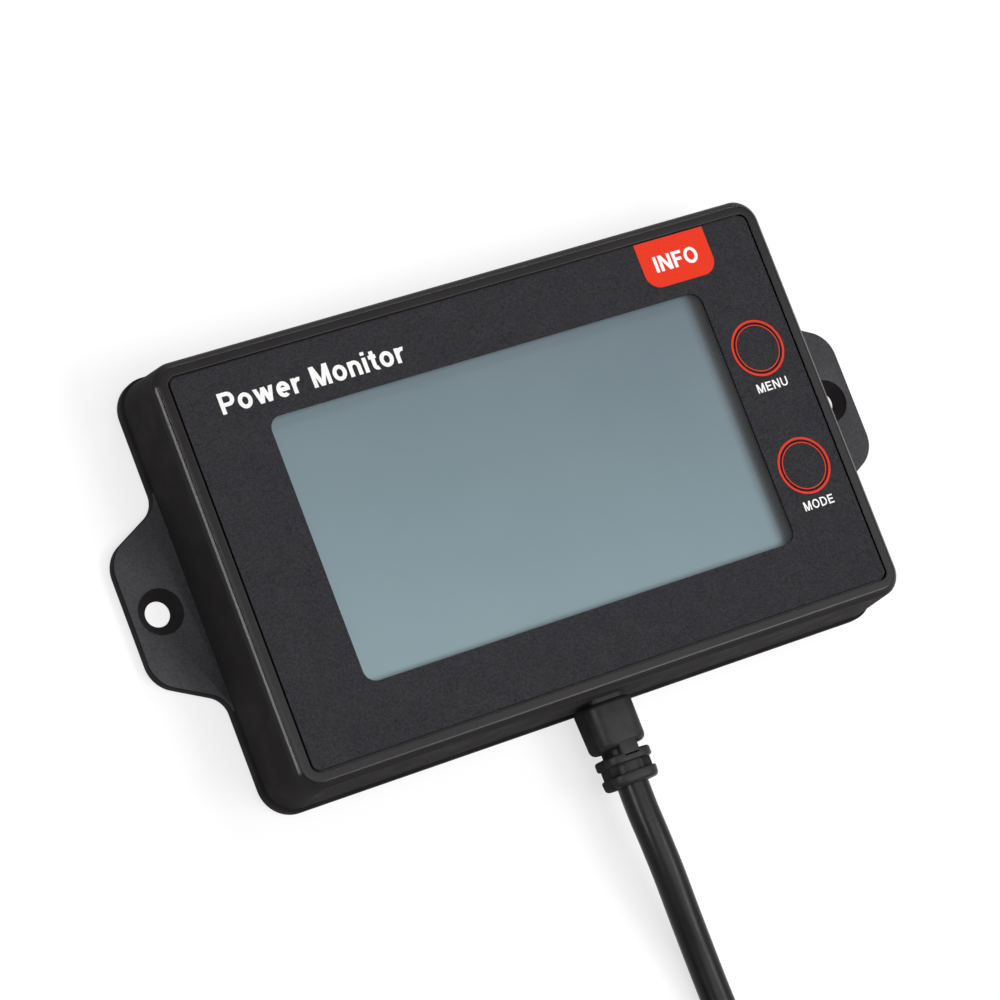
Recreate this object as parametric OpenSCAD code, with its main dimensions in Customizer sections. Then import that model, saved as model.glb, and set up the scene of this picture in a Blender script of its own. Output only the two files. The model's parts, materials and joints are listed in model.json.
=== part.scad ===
// Remote display meter for a solar and battery system.
// The meter lies on its back: +X runs along the face from left to right, +Y up the face,
// and +Z out of the display. The origin is on the back plane, under the centre of the box.
// A moulded cable leaves the lower side wall, runs along -Y and ends in a modular plug.

/* [Body] */
// Width of the box at its foot flange
body_w = 119; // [100:1:150]
// Height of the box at its foot flange
body_h = 75; // [66:1:95]
// Depth from the back plane to the top of the face rim
body_t = 15.2; // [15:0.1:20]
// Corner radius of the foot flange
corner_r = 5.5; // [4.5:0.1:8]
// Thickness of the side walls at their top
wall = 2.2; // [1.6:0.1:3]
// Draft of the side walls, inward over their height
draft = 0.8; // [0:0.1:1.4]
// How far the foot flange stands proud of the side walls
lip = 0.5; // [0.2:0.1:1]
// Thickness of the foot flange and of the ears
flange_t = 2.2; // [2:0.1:3]
// Thickness of the front plate behind the face film
plate_t = 1.5; // [1.2:0.1:2]
// Thickness of the rear cover
cover_t = 2; // [1.5:0.1:2]

/* [Face] */
// Width of the shoulder between the side wall and the raised rim
shoulder = 0.8; // [0.5:0.1:1.2]
// Width of the raised rim round the face film
band_w = 1.75; // [1:0.05:2]
// Thickness of the printed face film
film_t = 0.25; // [0.15:0.05:0.3]
// Distance from the side edges of the film to the display window
window_side = 14; // [12:0.5:20]
// Distance from the top and bottom edges of the film to the display window
window_end = 10.75; // [8:0.25:16]
// Corner radius of the display window
window_r = 2.2; // [1:0.1:4]
// Distance from the right edge of the film to the key centres
key_edge = 7.3; // [6.5:0.1:8]
// Height of the upper key above the middle of the film
key_up = 10.5; // [8:0.5:14]
// Drop of the lower key below the middle of the film
key_down = 11; // [8:0.5:14]
// Radius of the moving disc of a key
key_r = 4.3; // [3.4:0.1:5]
// Travel of a key
key_travel = 0.3; // [0.2:0.05:0.4]

/* [Ears] */
// Reach of each mounting ear beyond the foot flange
ear_reach = 10.75; // [9:0.25:16]
// Length of the straight outer edge of an ear, between its rounded corners
ear_flat = 15; // [8:0.5:24]
// Radius of the outer corners of an ear
ear_r = 5.5; // [3:0.5:8]
// Slope of the ear's upper and lower edges, in degrees
ear_slope = 28; // [10:1:45]
// Distance from the outer edge of an ear to the centre of its mounting hole
hole_inset = 5.25; // [4.5:0.05:6]
// Radius of the mounting holes
hole_r = 2.15; // [1.5:0.05:2.3]
// Radius of the countersink at the ear's top face
csk_r = 3.85; // [3:0.05:4]

/* [Display] */
// Thickness of each of the two glass plates
glass_t = 1.1; // [0.7:0.1:1.1]
// Thickness of the light guide behind the glass
guide_t = 2.4; // [1.5:0.1:2.5]
// How far the glass reaches past the window at its left, top and bottom
glass_over = 2.5; // [1.5:0.1:3]
// Thickness of the circuit board
pcb_t = 1.6; // [0.8:0.1:1.6]

/* [Cable] */
// Diameter of the cable
cord_d = 5.4; // [4.5:0.1:5.4]
// Width of the moulded strain relief at its block
boot_w = 9.2; // [8:0.1:12]
// Height of the moulded strain relief at its block
boot_h = 8.4; // [8:0.1:9]
// Length of the block of the strain relief
boot_block = 8; // [6:0.5:14]
// Turns of the stored cable in each layer of its coil
coil_turns = 3.75; // [1.75:0.5:3.75]

/* [Hidden] */
$fn = 64;
eps = 0.01;

// Side wall and rim: radial offsets from the centres of the four box corners
r_flange = corner_r;
r_foot = r_flange - lip;
r_top = r_foot - draft;
r_band = r_top - shoulder;
r_recess = r_band - band_w;
r_cavity = r_top - wall;
cx = body_w / 2 - corner_r;
cy = body_h / 2 - corner_r;
shoulder_r = 0.7;
band_r = 0.3;
band_up = 0.5;
recess_t = 0.3;

// Levels, from the face down to the board
plate_top = body_t - recess_t;
plate_low = plate_top - plate_t;
polariser_t = 0.2;
glass_low = plate_low - polariser_t - 2 * glass_t;
guide_top = glass_low - polariser_t;
guide_low = guide_top - guide_t;
frame_floor = 0.8;
pcb_top = guide_low - frame_floor;
pcb_low = pcb_top - pcb_t;

// Face film, window and keys
film_gap = 0.15;
film_w = 2 * (cx + r_recess - film_gap);
film_h = 2 * (cy + r_recess - film_gap);
film_r = r_recess - film_gap;
window_w = film_w - 2 * window_side;
window_h = film_h - 2 * window_end;
aperture_over = 0.3;
pane_over = 1;
pane_gap = 0.1;
pane_t = plate_t - 0.3;
pane_drop = 0.05;
key_x = film_w / 2 - key_edge;
key_gap = 0.1;
key_well = 0.6;
plunger_r = 2;
plunger_gap = 0.25;
disc_top = plate_top + film_t;

// Tactile switches under the keys
switch_w = 6;
switch_h = 3.5;
stem_r = 1.6;
stem_gap = 0.08;
stem_up = 0.7;
stem_in = 1.2;
stem_top = pcb_top + switch_h + stem_up;

// Display glass, from the window outwards
glass_x0 = -window_w / 2 - glass_over;
glass_x1 = window_w / 2 + 0.6;
glass_y = window_h / 2 + glass_over;
polariser_x1 = glass_x1 - 2.1;
ledge = 2.4;
frame_wall = 0.9;
fit_gap = 0.1;
pin_count = 24;
pin_w = 0.5;
pin_t = 0.3;

// Cover screws and their bosses
boss_r = 3;
boss_x = cx - 2;
boss_y = cy - 2;
screw_r = 1.3;
screw_gap = 0.05;
screw_head_r = 2.4;
screw_head_t = 1.2;
screw_sink = 0.1;
screw_hole_gap = 0.3;
screw_len = 6.8;
screw_spare = 1;
cover_gap = 0.15;

// Board, its posts and its screws
pcb_side = 1;
pcb_end = 3;
pcb_x = cx + r_cavity - pcb_side;
pcb_y = cy + r_cavity - pcb_end;
pcb_notch = [6.5, 4.8];
post_r = 2.2;
post_x = pcb_x - 3.4;
post_y = pcb_y - pcb_notch[1] - post_r - 0.2;
board_screw_r = 0.95;
board_screw_len = 6.5;
board_head_r = 1.8;
board_head_t = 1.2;

// Ears: the outer corner circles and the points where the sloping edges touch them
ear_x = body_w / 2 + ear_reach;
ear_cx = ear_x - ear_r;
ear_cy = ear_flat / 2;
ear_n = [sin(ear_slope), cos(ear_slope)];
ear_tx = ear_cx + ear_r * ear_n[0];
ear_ty = ear_cy + ear_r * ear_n[1];
ear_root_x = body_w / 2;
ear_root_y = ear_ty + (ear_tx - ear_root_x) * tan(ear_slope);
ear_in_x = ear_root_x - 1.5;
root_r = 4;
root_cy = ear_root_y + root_r * (1 - ear_n[0]) / ear_n[1];

// Cable exit through the lower side wall
cord_r = cord_d / 2;
cable_z = body_t / 2;
slot_w = 6.6;
slot_top = cable_z + 3.4;
slot_gap = 0.15;
wall_in_y = -(cy + r_cavity);
boot_flange_w = 10.4;
boot_flange_h = 7.6;
boot_flange_t = 1.6;
boot_y0 = -body_h / 2 + 0.3;
boot_y1 = boot_y0 - boot_block;
gap_1 = 1;
ring_1 = 1.7;
gap_2 = 1.6;
ring_2 = 2;
ring_w = boot_w - 0.2;
ring_h = boot_h - 0.6;
boot_r = 2;
strut_w = 3.4;
boot_end = boot_y1 - gap_1 - ring_1 - gap_2 - ring_2;
block_z = cable_z - 0.4;
core_r = 3;

// Cable connector on the back of the board
wire_r = 0.6;
wire_pitch = 1.5;
wire_count = 4;
header_w = 9;
header_l = 6.6;
header_h = 3.4;
header_y = -pcb_y + 2.2;
header_wall = 0.7;
crimp_out = 1.2;
wire_z = pcb_low - header_h / 2;

// Cable route, from the strain relief down to the surface and on to the coil
coil_x = -38;
coil_y = -132;
coil_out = 41;
tie_t = 0.6;
tie_w = 8;
tie_gap = 0.05;
coil_low = tie_t;
coil_r0 = coil_out + cord_r;
coil_r1 = coil_out - coil_turns * cord_d - cord_r;
coil_h = 2 * cord_d;
lead_start = [0, boot_end, cable_z];
lead_route = [
    [0, -56, 7.6], [0.3, -61, 7.4], [0.8, -67, 6.7], [1.4, -74, 5.4], [2.1, -81, 4],
    [2.6, -88, 3.1], [3, -95, 2.7], [3, -104, 2.7], [3, -113, 2.9], [3, -122, 3.2], [3, -132, 3.3]
];
tail_route = [
    [-79, -132, 8.7], [-79, -124, 8.7], [-79, -118, 8.5], [-79, -111, 7.2], [-79, -105, 5.4],
    [-79, -99, 4.3], [-79, -94, 4]
];
tube_sides = 10;

// Plug at the end of the cable
plug_w = 11.7;
plug_l = 21.5;
plug_h = 8;
plug_x = -79;
plug_y = -94;
plug_nose = 1.1;
contact_count = 8;
contact_pitch = 1.02;
contact_w = 0.4;
contact_h = 2.4;
contact_l = 5.4;
latch_w = 6;
latch_t = 0.9;
latch_l = 14.5;
latch_rise = 12;
latch_gap = 0.1;

// ---- shared shapes ----

// Rectangle with round corners, made of two squares and four circles
module round_rect(w, h, r) {
    square([w - 2 * r, h], center = true);
    square([w, h - 2 * r], center = true);
    for (x = [-1, 1], y = [-1, 1])
        translate([x * (w / 2 - r), y * (h / 2 - r)]) circle(r = r);
}

// Upright block with round corners, standing on z = 0
module round_block(w, h, r, t) {
    linear_extrude(height = t) round_rect(w, h, r);
}

// Block that follows the display window, wider by the same amount on every side
module window_block(over, t) {
    round_block(window_w + 2 * over, window_h + 2 * over, window_r + over, t);
}

// Carries a profile, drawn in radial offset and height, round the four sides of the box
module around_box() {
    for (s = [-1, 1]) {
        turn = s > 0 ? 0 : 180;
        rotate([0, 0, turn]) translate([cx, cy, 0]) rotate([90, 0, 0])
            linear_extrude(height = 2 * cy) children();
        rotate([0, 0, turn]) translate([-cx, cy, 0]) rotate([90, 0, 90])
            linear_extrude(height = 2 * cx) children();
    }
    for (x = [0, 1], y = [0, 1])
        translate([(2 * x - 1) * cx, (2 * y - 1) * cy, 0])
            rotate([0, 0, x == 1 ? (y == 1 ? 0 : 270) : (y == 1 ? 90 : 180)])
                rotate_extrude(angle = 90) children();
}

// One copy of a shape at each corner of a rectangle of half sizes x and y
module at_corners(x, y) {
    for (sx = [-1, 1], sy = [-1, 1])
        translate([sx * x, sy * y, 0]) children();
}

function unit(v) = v / norm(v);
function route_dir(p, i) =
    unit(p[min(i + 1, len(p) - 1)] - p[max(i - 1, 0)]);
function ring_point(c, d, r, a) =
    let (side = unit(cross(d, [0, 0, 1])), up = cross(side, d))
    c + r * (cos(a) * side + sin(a) * up);

// Round tube swept along a list of points
module tube(p, r, n) {
    points = [
        for (i = [0:len(p) - 1], k = [0:n - 1])
            ring_point(p[i], route_dir(p, i), r, -90 + 360 * k / n)
    ];
    last = (len(p) - 1) * n;
    sides = [
        for (i = [0:len(p) - 2], k = [0:n - 1])
            [i * n + k, i * n + (k + 1) % n, (i + 1) * n + (k + 1) % n, (i + 1) * n + k]
    ];
    caps = [[for (k = [n - 1:-1:0]) k], [for (k = [0:n - 1]) last + k]];
    polyhedron(points = points, faces = concat(sides, caps), convexity = 4);
}

// ---- box ----

// Section of the side wall: foot flange, drafted wall, shoulder, raised rim and plate edge
module wall_profile() {
    shoulder_z = body_t - band_up;
    difference() {
        union() {
            polygon([
                [r_cavity, 0], [r_foot, 0], [r_foot, flange_t], [r_top, shoulder_z - shoulder_r],
                [r_top - shoulder_r, shoulder_z], [r_band, shoulder_z], [r_band, body_t - band_r],
                [r_band - band_r, body_t], [r_recess, body_t], [r_recess, plate_top],
                [0, plate_top], [0, plate_low], [r_cavity, plate_low]
            ]);
            flange_lip();
            translate([r_top - shoulder_r, shoulder_z - shoulder_r]) circle(r = shoulder_r);
            translate([r_band - band_r, body_t - band_r]) circle(r = band_r);
        }
        translate([0, -1]) square([r_flange + 1, 1]);
    }
}

// Section of the foot flange, with a rounded upper edge
module flange_lip() {
    translate([r_foot - eps, 0]) square([lip + eps, flange_t - lip]);
    intersection() {
        translate([r_foot, flange_t - lip]) circle(r = lip);
        translate([r_foot - eps, flange_t - lip]) square([lip + eps, lip]);
    }
}

// Outline of one ear, with rounded outer corners and hollow corners at its root
module ear_outline() {
    polygon([
        [ear_in_x, -root_cy], [ear_root_x, -root_cy], [ear_root_x, -ear_root_y],
        [ear_tx, -ear_ty], [ear_x, -ear_cy], [ear_x, ear_cy], [ear_tx, ear_ty],
        [ear_root_x, ear_root_y], [ear_root_x, root_cy], [ear_in_x, root_cy]
    ]);
    for (s = [-1, 1]) {
        intersection() {
            translate([ear_cx, s * ear_cy]) circle(r = ear_r);
            translate([ear_cx - ear_r, s > 0 ? ear_cy : -ear_cy - ear_r]) square([2 * ear_r, ear_r]);
        }
        difference() {
            polygon([
                [ear_root_x - eps, s * ear_root_y], [ear_root_x - eps, s * root_cy],
                [ear_root_x + root_r, s * root_cy],
                [ear_root_x + root_r * (1 - ear_n[0]), s * (root_cy - root_r * ear_n[1])]
            ]);
            translate([ear_root_x + root_r, s * root_cy]) circle(r = root_r);
        }
    }
}

// Countersunk mounting hole, standing on z = 0
module ear_hole() {
    translate([0, 0, -1]) cylinder(r = hole_r, h = flange_t + 2);
    translate([0, 0, flange_t - (csk_r - hole_r)])
        cylinder(r1 = hole_r, r2 = csk_r, h = csk_r - hole_r);
    translate([0, 0, flange_t]) cylinder(r = csk_r, h = 1);
}

module front_housing() {
    color([0.05, 0.05, 0.055]) difference() {
        union() {
            around_box() wall_profile();
            translate([-cx, -cy, plate_low]) cube([2 * cx, 2 * cy, plate_t]);
            for (s = [0, 180])
                rotate([0, 0, s]) linear_extrude(height = flange_t) ear_outline();
            at_corners(boss_x, boss_y) translate([0, 0, cover_t])
                cylinder(r = boss_r, h = plate_low - cover_t + eps);
            at_corners(post_x, post_y) translate([0, 0, pcb_top])
                cylinder(r = post_r, h = plate_low - pcb_top + eps);
        }
        for (s = [-1, 1])
            translate([s * (ear_x - hole_inset), 0, 0]) ear_hole();
        at_corners(boss_x, boss_y) translate([0, 0, -1])
            cylinder(r = screw_r + screw_gap, h = 1 + screw_head_t + screw_len + screw_spare);
        at_corners(post_x, post_y) translate([0, 0, pcb_low])
            cylinder(r = board_screw_r + screw_gap, h = board_screw_len + 0.3);
        translate([0, 0, plate_low - 1])
            window_block(aperture_over, plate_t + 2);
        translate([0, 0, plate_top - pane_t]) window_block(pane_over, plate_t);
        for (y = [key_up, -key_down])
            translate([key_x, y, 0]) {
                translate([0, 0, plate_low - 1]) cylinder(r = plunger_r + plunger_gap, h = plate_t + 2);
                translate([0, 0, plate_top - key_well]) cylinder(r = key_r + 0.4, h = key_well + 1);
            }
        translate([-slot_w / 2, -body_h / 2 - 1, -1])
            cube([slot_w, body_h / 2 + 1 + wall_in_y + eps, slot_top + 1]);
    }
}

module rear_cover() {
    w = 2 * (cx + r_cavity - cover_gap);
    h = 2 * (cy + r_cavity - cover_gap);
    color([0.05, 0.05, 0.055]) difference() {
        union() {
            round_block(w, h, r_cavity - cover_gap, cover_t);
            translate([-slot_w / 2 + slot_gap, -body_h / 2 + lip, 0])
                cube([slot_w - 2 * slot_gap, body_h / 2 - lip + wall_in_y + 1, cover_t]);
        }
        at_corners(boss_x, boss_y) {
            translate([0, 0, -1]) cylinder(r = screw_r + screw_hole_gap, h = cover_t + 2);
            translate([0, 0, -1]) cylinder(r = screw_head_r + screw_hole_gap, h = 1 + screw_head_t);
        }
    }
}

// One pan-head screw, pointing up, with its head's underside on z = 0
module screw(r, len, head_r, head_t) {
    difference() {
        translate([0, 0, -head_t]) cylinder(r = head_r, h = head_t);
        for (a = [0, 90])
            rotate([0, 0, a]) translate([-head_r * 0.55, -0.25, -head_t - 1])
                cube([head_r * 1.1, 0.5, 1.6]);
    }
    cylinder(r = r, h = len - 0.8);
    translate([0, 0, len - 0.8]) cylinder(r1 = r, r2 = r * 0.6, h = 0.8);
}

module cover_screws() {
    color("dimgray") at_corners(boss_x, boss_y)
        translate([0, 0, screw_head_t]) screw(screw_r, screw_len, screw_head_r, screw_head_t - screw_sink);
}

// ---- face ----

module face_film() {
    color([0.13, 0.13, 0.14]) difference() {
        translate([0, 0, plate_top]) round_block(film_w, film_h, film_r, film_t);
        translate([0, 0, plate_top - 1]) window_block(0, film_t + 2);
        for (y = [key_up, -key_down])
            translate([key_x, y, plate_top - 1]) cylinder(r = key_r + key_gap, h = film_t + 2);
    }
}

module display_window() {
    color([0.85, 0.9, 0.92, 0.3])
        translate([0, 0, plate_top - pane_t]) window_block(pane_over - pane_gap, pane_t - pane_drop);
}

module key_disc(y) {
    color([0.13, 0.13, 0.14]) translate([key_x, y, plate_top])
        cylinder(r = key_r, h = film_t);
}

module key_plunger(y) {
    color([0.2, 0.2, 0.2]) translate([key_x, y, stem_top])
        cylinder(r = plunger_r, h = plate_top - stem_top);
}

module switch_stem(y) {
    color([0.08, 0.08, 0.08]) translate([key_x, y, pcb_top + switch_h - stem_in])
        cylinder(r = stem_r, h = stem_in + stem_up);
}

module switch_bodies() {
    color([0.12, 0.12, 0.12])
        for (y = [key_up, -key_down])
            translate([key_x, y, pcb_top]) difference() {
                translate([-switch_w / 2, -switch_w / 2, 0]) cube([switch_w, switch_w, switch_h]);
                translate([0, 0, switch_h - stem_in - key_travel - 0.2])
                    cylinder(r = stem_r + stem_gap, h = switch_h);
            }
}

// ---- display ----

// Flat plate of the display stack between two X limits
module display_plate(x0, x1, y, z, t) {
    translate([x0, -y, z]) cube([x1 - x0, 2 * y, t]);
}

module front_polariser() {
    color([0.5, 0.57, 0.58])
        display_plate(glass_x0 + 0.8, polariser_x1, glass_y - 0.8, plate_low - polariser_t, polariser_t);
}

module front_glass() {
    color([0.6, 0.7, 0.68])
        display_plate(glass_x0, glass_x1, glass_y, glass_low + glass_t, glass_t);
}

module rear_glass() {
    color([0.6, 0.7, 0.68]) translate([glass_x0, -glass_y - ledge, glass_low])
        cube([glass_x1 - glass_x0, 2 * glass_y + ledge, glass_t]);
}

module rear_polariser() {
    color([0.75, 0.78, 0.76])
        display_plate(glass_x0 + 0.8, polariser_x1, glass_y - 0.8, guide_top, polariser_t);
}

module light_guide() {
    color([0.92, 0.94, 0.92])
        display_plate(glass_x0 + frame_wall + fit_gap, glass_x1 - frame_wall - fit_gap,
                      glass_y - frame_wall - fit_gap, guide_low, guide_t);
}

module backlight_frame() {
    led_w = 3.4;
    color([0.9, 0.9, 0.88]) difference() {
        display_plate(glass_x0, glass_x1, glass_y, pcb_top, guide_top + polariser_t - pcb_top);
        display_plate(glass_x0 + frame_wall, glass_x1 - frame_wall, glass_y - frame_wall, guide_low, 9);
        display_plate(glass_x0 + 0.75, glass_x1 + 1, glass_y - 0.75, guide_top, 9);
        for (y = [-12, 0, 12])
            translate([glass_x0 - 1, y - led_w / 2, guide_low + 0.3]) cube([1 + frame_wall + eps, led_w, 1.6]);
    }
}

module backlight_leds() {
    color("ivory") for (y = [-12, 0, 12])
        translate([glass_x0 - 0.2, y - 1.6, guide_low + 0.4]) cube([frame_wall + 0.15, 3.2, 1.4]);
}

module display_pins() {
    pitch = (glass_x1 - glass_x0 - 6) / (pin_count - 1);
    color("silver") for (i = [0:pin_count - 1])
        translate([glass_x0 + 3 + i * pitch - pin_w / 2, 0, 0]) {
            translate([0, -glass_y - ledge - pin_t, pcb_top])
                cube([pin_w, pin_t, glass_low + glass_t + pin_t - pcb_top]);
            translate([0, -glass_y - ledge - eps, glass_low + glass_t]) cube([pin_w, 1.6, pin_t]);
        }
}

// ---- board ----

module circuit_board() {
    color([0.05, 0.3, 0.15]) difference() {
        translate([-pcb_x, -pcb_y, pcb_low]) cube([2 * pcb_x, 2 * pcb_y, pcb_t]);
        at_corners(pcb_x, pcb_y)
            translate([-pcb_notch[0], -pcb_notch[1], pcb_low - 1])
                cube([2 * pcb_notch[0], 2 * pcb_notch[1], pcb_t + 2]);
        at_corners(post_x, post_y)
            translate([0, 0, pcb_low - 1]) cylinder(r = board_screw_r + 0.15, h = pcb_t + 2);
    }
}

module board_screws() {
    color("silver") at_corners(post_x, post_y)
        translate([0, 0, pcb_low]) screw(board_screw_r, board_screw_len, board_head_r, board_head_t);
}

// Chip package hanging under the board, with leads along two opposite sides
module chip(x, y, w, l, h, leads, pitch) {
    translate([x, y, pcb_low - h - 0.1]) {
        translate([-w / 2, -l / 2, 0]) cube([w, l, h]);
        for (s = [-1, 1], i = [0:leads - 1])
            translate([s > 0 ? w / 2 : -w / 2 - 1, (i - (leads - 1) / 2) * pitch - 0.15, h / 2])
                cube([1, 0.3, h / 2 + 0.1]);
    }
}

module controller_chip() {
    color([0.1, 0.1, 0.1]) chip(-12, 8, 10, 10, 1.4, 12, 0.8);
}

module driver_chip() {
    color([0.1, 0.1, 0.1]) chip(-32, 8, 6, 12, 1.6, 14, 0.8);
}

module bus_chip() {
    color([0.1, 0.1, 0.1]) chip(8, -10, 4, 5, 1.5, 4, 1.27);
}

module regulator() {
    color([0.1, 0.1, 0.1]) chip(24, -10, 4, 6.6, 1.7, 3, 2.3);
}

module inductor() {
    color([0.2, 0.2, 0.22]) translate([34, -8, pcb_low - 3]) difference() {
        round_block(7.3, 7.3, 1.5, 3);
        translate([0, 0, -1]) cylinder(r = 2.4, h = 1.4);
    }
}

module crystal() {
    color("silver") translate([-12, 19, pcb_low - 2]) round_block(10, 3.6, 1.7, 2);
}

module can_capacitors() {
    color([0.75, 0.75, 0.77]) for (x = [20, 28])
        translate([x, -21, pcb_low - 3.4]) {
            cylinder(r = 2.5, h = 2.9);
            translate([-2.6, -2.6, 2.8]) cube([5.2, 5.2, 0.6]);
        }
}

module chip_capacitors() {
    color([0.7, 0.6, 0.45]) for (i = [0:7])
        translate([-26 + 6 * i, -3, pcb_low - 0.8]) cube([2, 1.25, 0.8]);
}

module chip_resistors() {
    color([0.12, 0.12, 0.12]) for (i = [0:9])
        translate([-30 + 6 * i, 0.5, pcb_low - 0.5]) cube([2, 1.25, 0.5]);
}

// ---- cable exit ----

module cable_header() {
    color([0.93, 0.92, 0.86]) translate([-header_w / 2, header_y, pcb_low - header_h]) difference() {
        cube([header_w, header_l, header_h]);
        translate([header_wall, -1, header_wall])
            cube([header_w - 2 * header_wall, header_l + 1 - header_wall, header_h - 2 * header_wall]);
    }
}

module crimp_housing() {
    g = 0.1;
    color([0.93, 0.92, 0.86])
        translate([-header_w / 2 + header_wall + g, header_y - crimp_out, pcb_low - header_h + header_wall + g])
            cube([header_w - 2 * header_wall - 2 * g, header_l + crimp_out - header_wall - g,
                  header_h - 2 * header_wall - 2 * g]);
}

module inner_wires() {
    y0 = wall_in_y + boot_flange_t;
    color("red") for (i = [0:wire_count - 1])
        translate([(i - (wire_count - 1) / 2) * wire_pitch, y0, wire_z])
            rotate([-90, 0, 0]) cylinder(r = wire_r, h = header_y - crimp_out - y0);
}

// Round-cornered slab of the strain relief, standing across the cable
module boot_slab(w, h, r, y, t, z) {
    translate([0, y, z]) rotate([90, 0, 0]) round_block(w, h, r, t);
}

module strain_relief() {
    y0 = wall_in_y;
    neck_low = cover_t + slot_gap;
    neck_w = slot_w - 2 * slot_gap;
    ring_y1 = boot_y1 - gap_1;
    ring_y2 = ring_y1 - ring_1 - gap_2;
    color([0.04, 0.04, 0.045]) {
        boot_slab(boot_flange_w, boot_flange_h, 1, y0 + boot_flange_t, boot_flange_t, cable_z);
        translate([-neck_w / 2, boot_y0 - eps, neck_low])
            cube([neck_w, y0 - boot_y0 + 2 * eps, slot_top - slot_gap - neck_low]);
        boot_slab(boot_w, boot_h, boot_r, boot_y0, boot_block, block_z);
        translate([0, boot_y1 + eps, cable_z]) rotate([90, 0, 0])
            cylinder(r = core_r, h = boot_y1 - boot_end);
        translate([-strut_w / 2, ring_y1 - eps, cable_z - ring_h / 2])
            cube([strut_w, gap_1 + 2 * eps, ring_h]);
        boot_slab(ring_w, ring_h, boot_r, ring_y1, ring_1, cable_z);
        translate([-ring_w / 2 + 0.4, ring_y2 - eps, cable_z - strut_w / 2])
            cube([ring_w - 0.8, gap_2 + 2 * eps, strut_w]);
        boot_slab(ring_w, ring_h, boot_r, ring_y2, ring_2, cable_z);
    }
}

// ---- free cable ----

module cord_lead() {
    color([0.05, 0.05, 0.05]) tube(concat([lead_start], lead_route), cord_r, tube_sides);
}

module cord_coil() {
    color([0.05, 0.05, 0.05]) translate([coil_x, coil_y, coil_low])
        rotate_extrude() translate([coil_r1, 0]) square([coil_r0 - coil_r1, coil_h]);
}

module cord_tail() {
    color([0.05, 0.05, 0.05]) tube(tail_route, cord_r, tube_sides);
}

// Strap round the winding of the coil, on its side away from the box
module cord_tie() {
    near = sqrt(coil_r1 * coil_r1 - tie_w * tie_w / 4) - tie_gap;
    w = coil_r0 + tie_gap - near;
    color([0.1, 0.1, 0.1]) translate([coil_x - tie_w / 2, coil_y - coil_r0 - tie_gap, 0]) difference() {
        translate([0, -tie_t, 0]) cube([tie_w, w + 2 * tie_t, coil_h + tie_gap + 2 * tie_t]);
        translate([-1, 0, tie_t]) cube([tie_w + 2, w, coil_h + tie_gap]);
    }
}

// ---- plug ----

module plug_body() {
    color([0.85, 0.88, 0.9, 0.5]) translate([plug_x, plug_y, 0]) difference() {
        union() {
            translate([-plug_w / 2, 0, 0]) cube([plug_w, plug_l - plug_nose, plug_h]);
            translate([-plug_w / 2, plug_l - plug_nose - eps, 0.6]) cube([plug_w, plug_nose, plug_h - 1.8]);
        }
        for (i = [0:contact_count - 1])
            translate([(i - (contact_count - 1) / 2) * contact_pitch - 0.3, plug_l - contact_l - 1, -1])
                cube([0.6, contact_l + 0.4, contact_h + 1.1]);
    }
}

module plug_contacts() {
    color("gold") for (i = [0:contact_count - 1])
        translate([plug_x + (i - (contact_count - 1) / 2) * contact_pitch - contact_w / 2,
                   plug_y + plug_l - contact_l - 0.9, 0.3])
            cube([contact_w, contact_l, contact_h - 0.2]);
}

// Sprung latch: a tongue that rises from its root at the nose towards the cable
module plug_latch() {
    color([0.85, 0.88, 0.9, 0.5])
        translate([plug_x, plug_y + plug_l - plug_nose - 1, plug_h + latch_gap])
            rotate([-latch_rise, 0, 0])
                translate([-latch_w / 2, -latch_l, 0]) cube([latch_w, latch_l, latch_t]);
}

front_housing();
rear_cover();
cover_screws();
face_film();
display_window();
front_polariser();
front_glass();
rear_glass();
rear_polariser();
light_guide();
backlight_frame();
backlight_leds();
display_pins();
circuit_board();
board_screws();
controller_chip();
driver_chip();
bus_chip();
regulator();
inductor();
crystal();
can_capacitors();
chip_capacitors();
chip_resistors();
switch_bodies();
switch_stem(key_up);  // upper_switch_stem
switch_stem(-key_down);  // lower_switch_stem
key_plunger(key_up);  // upper_key_plunger
key_plunger(-key_down);  // lower_key_plunger
key_disc(key_up);  // upper_key_disc
key_disc(-key_down);  // lower_key_disc
cable_header();
crimp_housing();
inner_wires();
strain_relief();
cord_lead();
cord_coil();
cord_tail();
cord_tie();
plug_body();
plug_contacts();
plug_latch();
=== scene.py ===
"""Looks of the remote display meter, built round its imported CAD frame.

The box, its face, the strain relief and the cable are surfaces worked out here with numpy, in
millimetres, and written to meshes in metres. What the box hides keeps its CAD shape and gets a
material. Places come from the frame's boxes; the sizes of small features are dataclass fields.
"""

import json
import logging
import math
from dataclasses import dataclass, field
from enum import Enum
from typing import ClassVar, Iterable, Sequence

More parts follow.
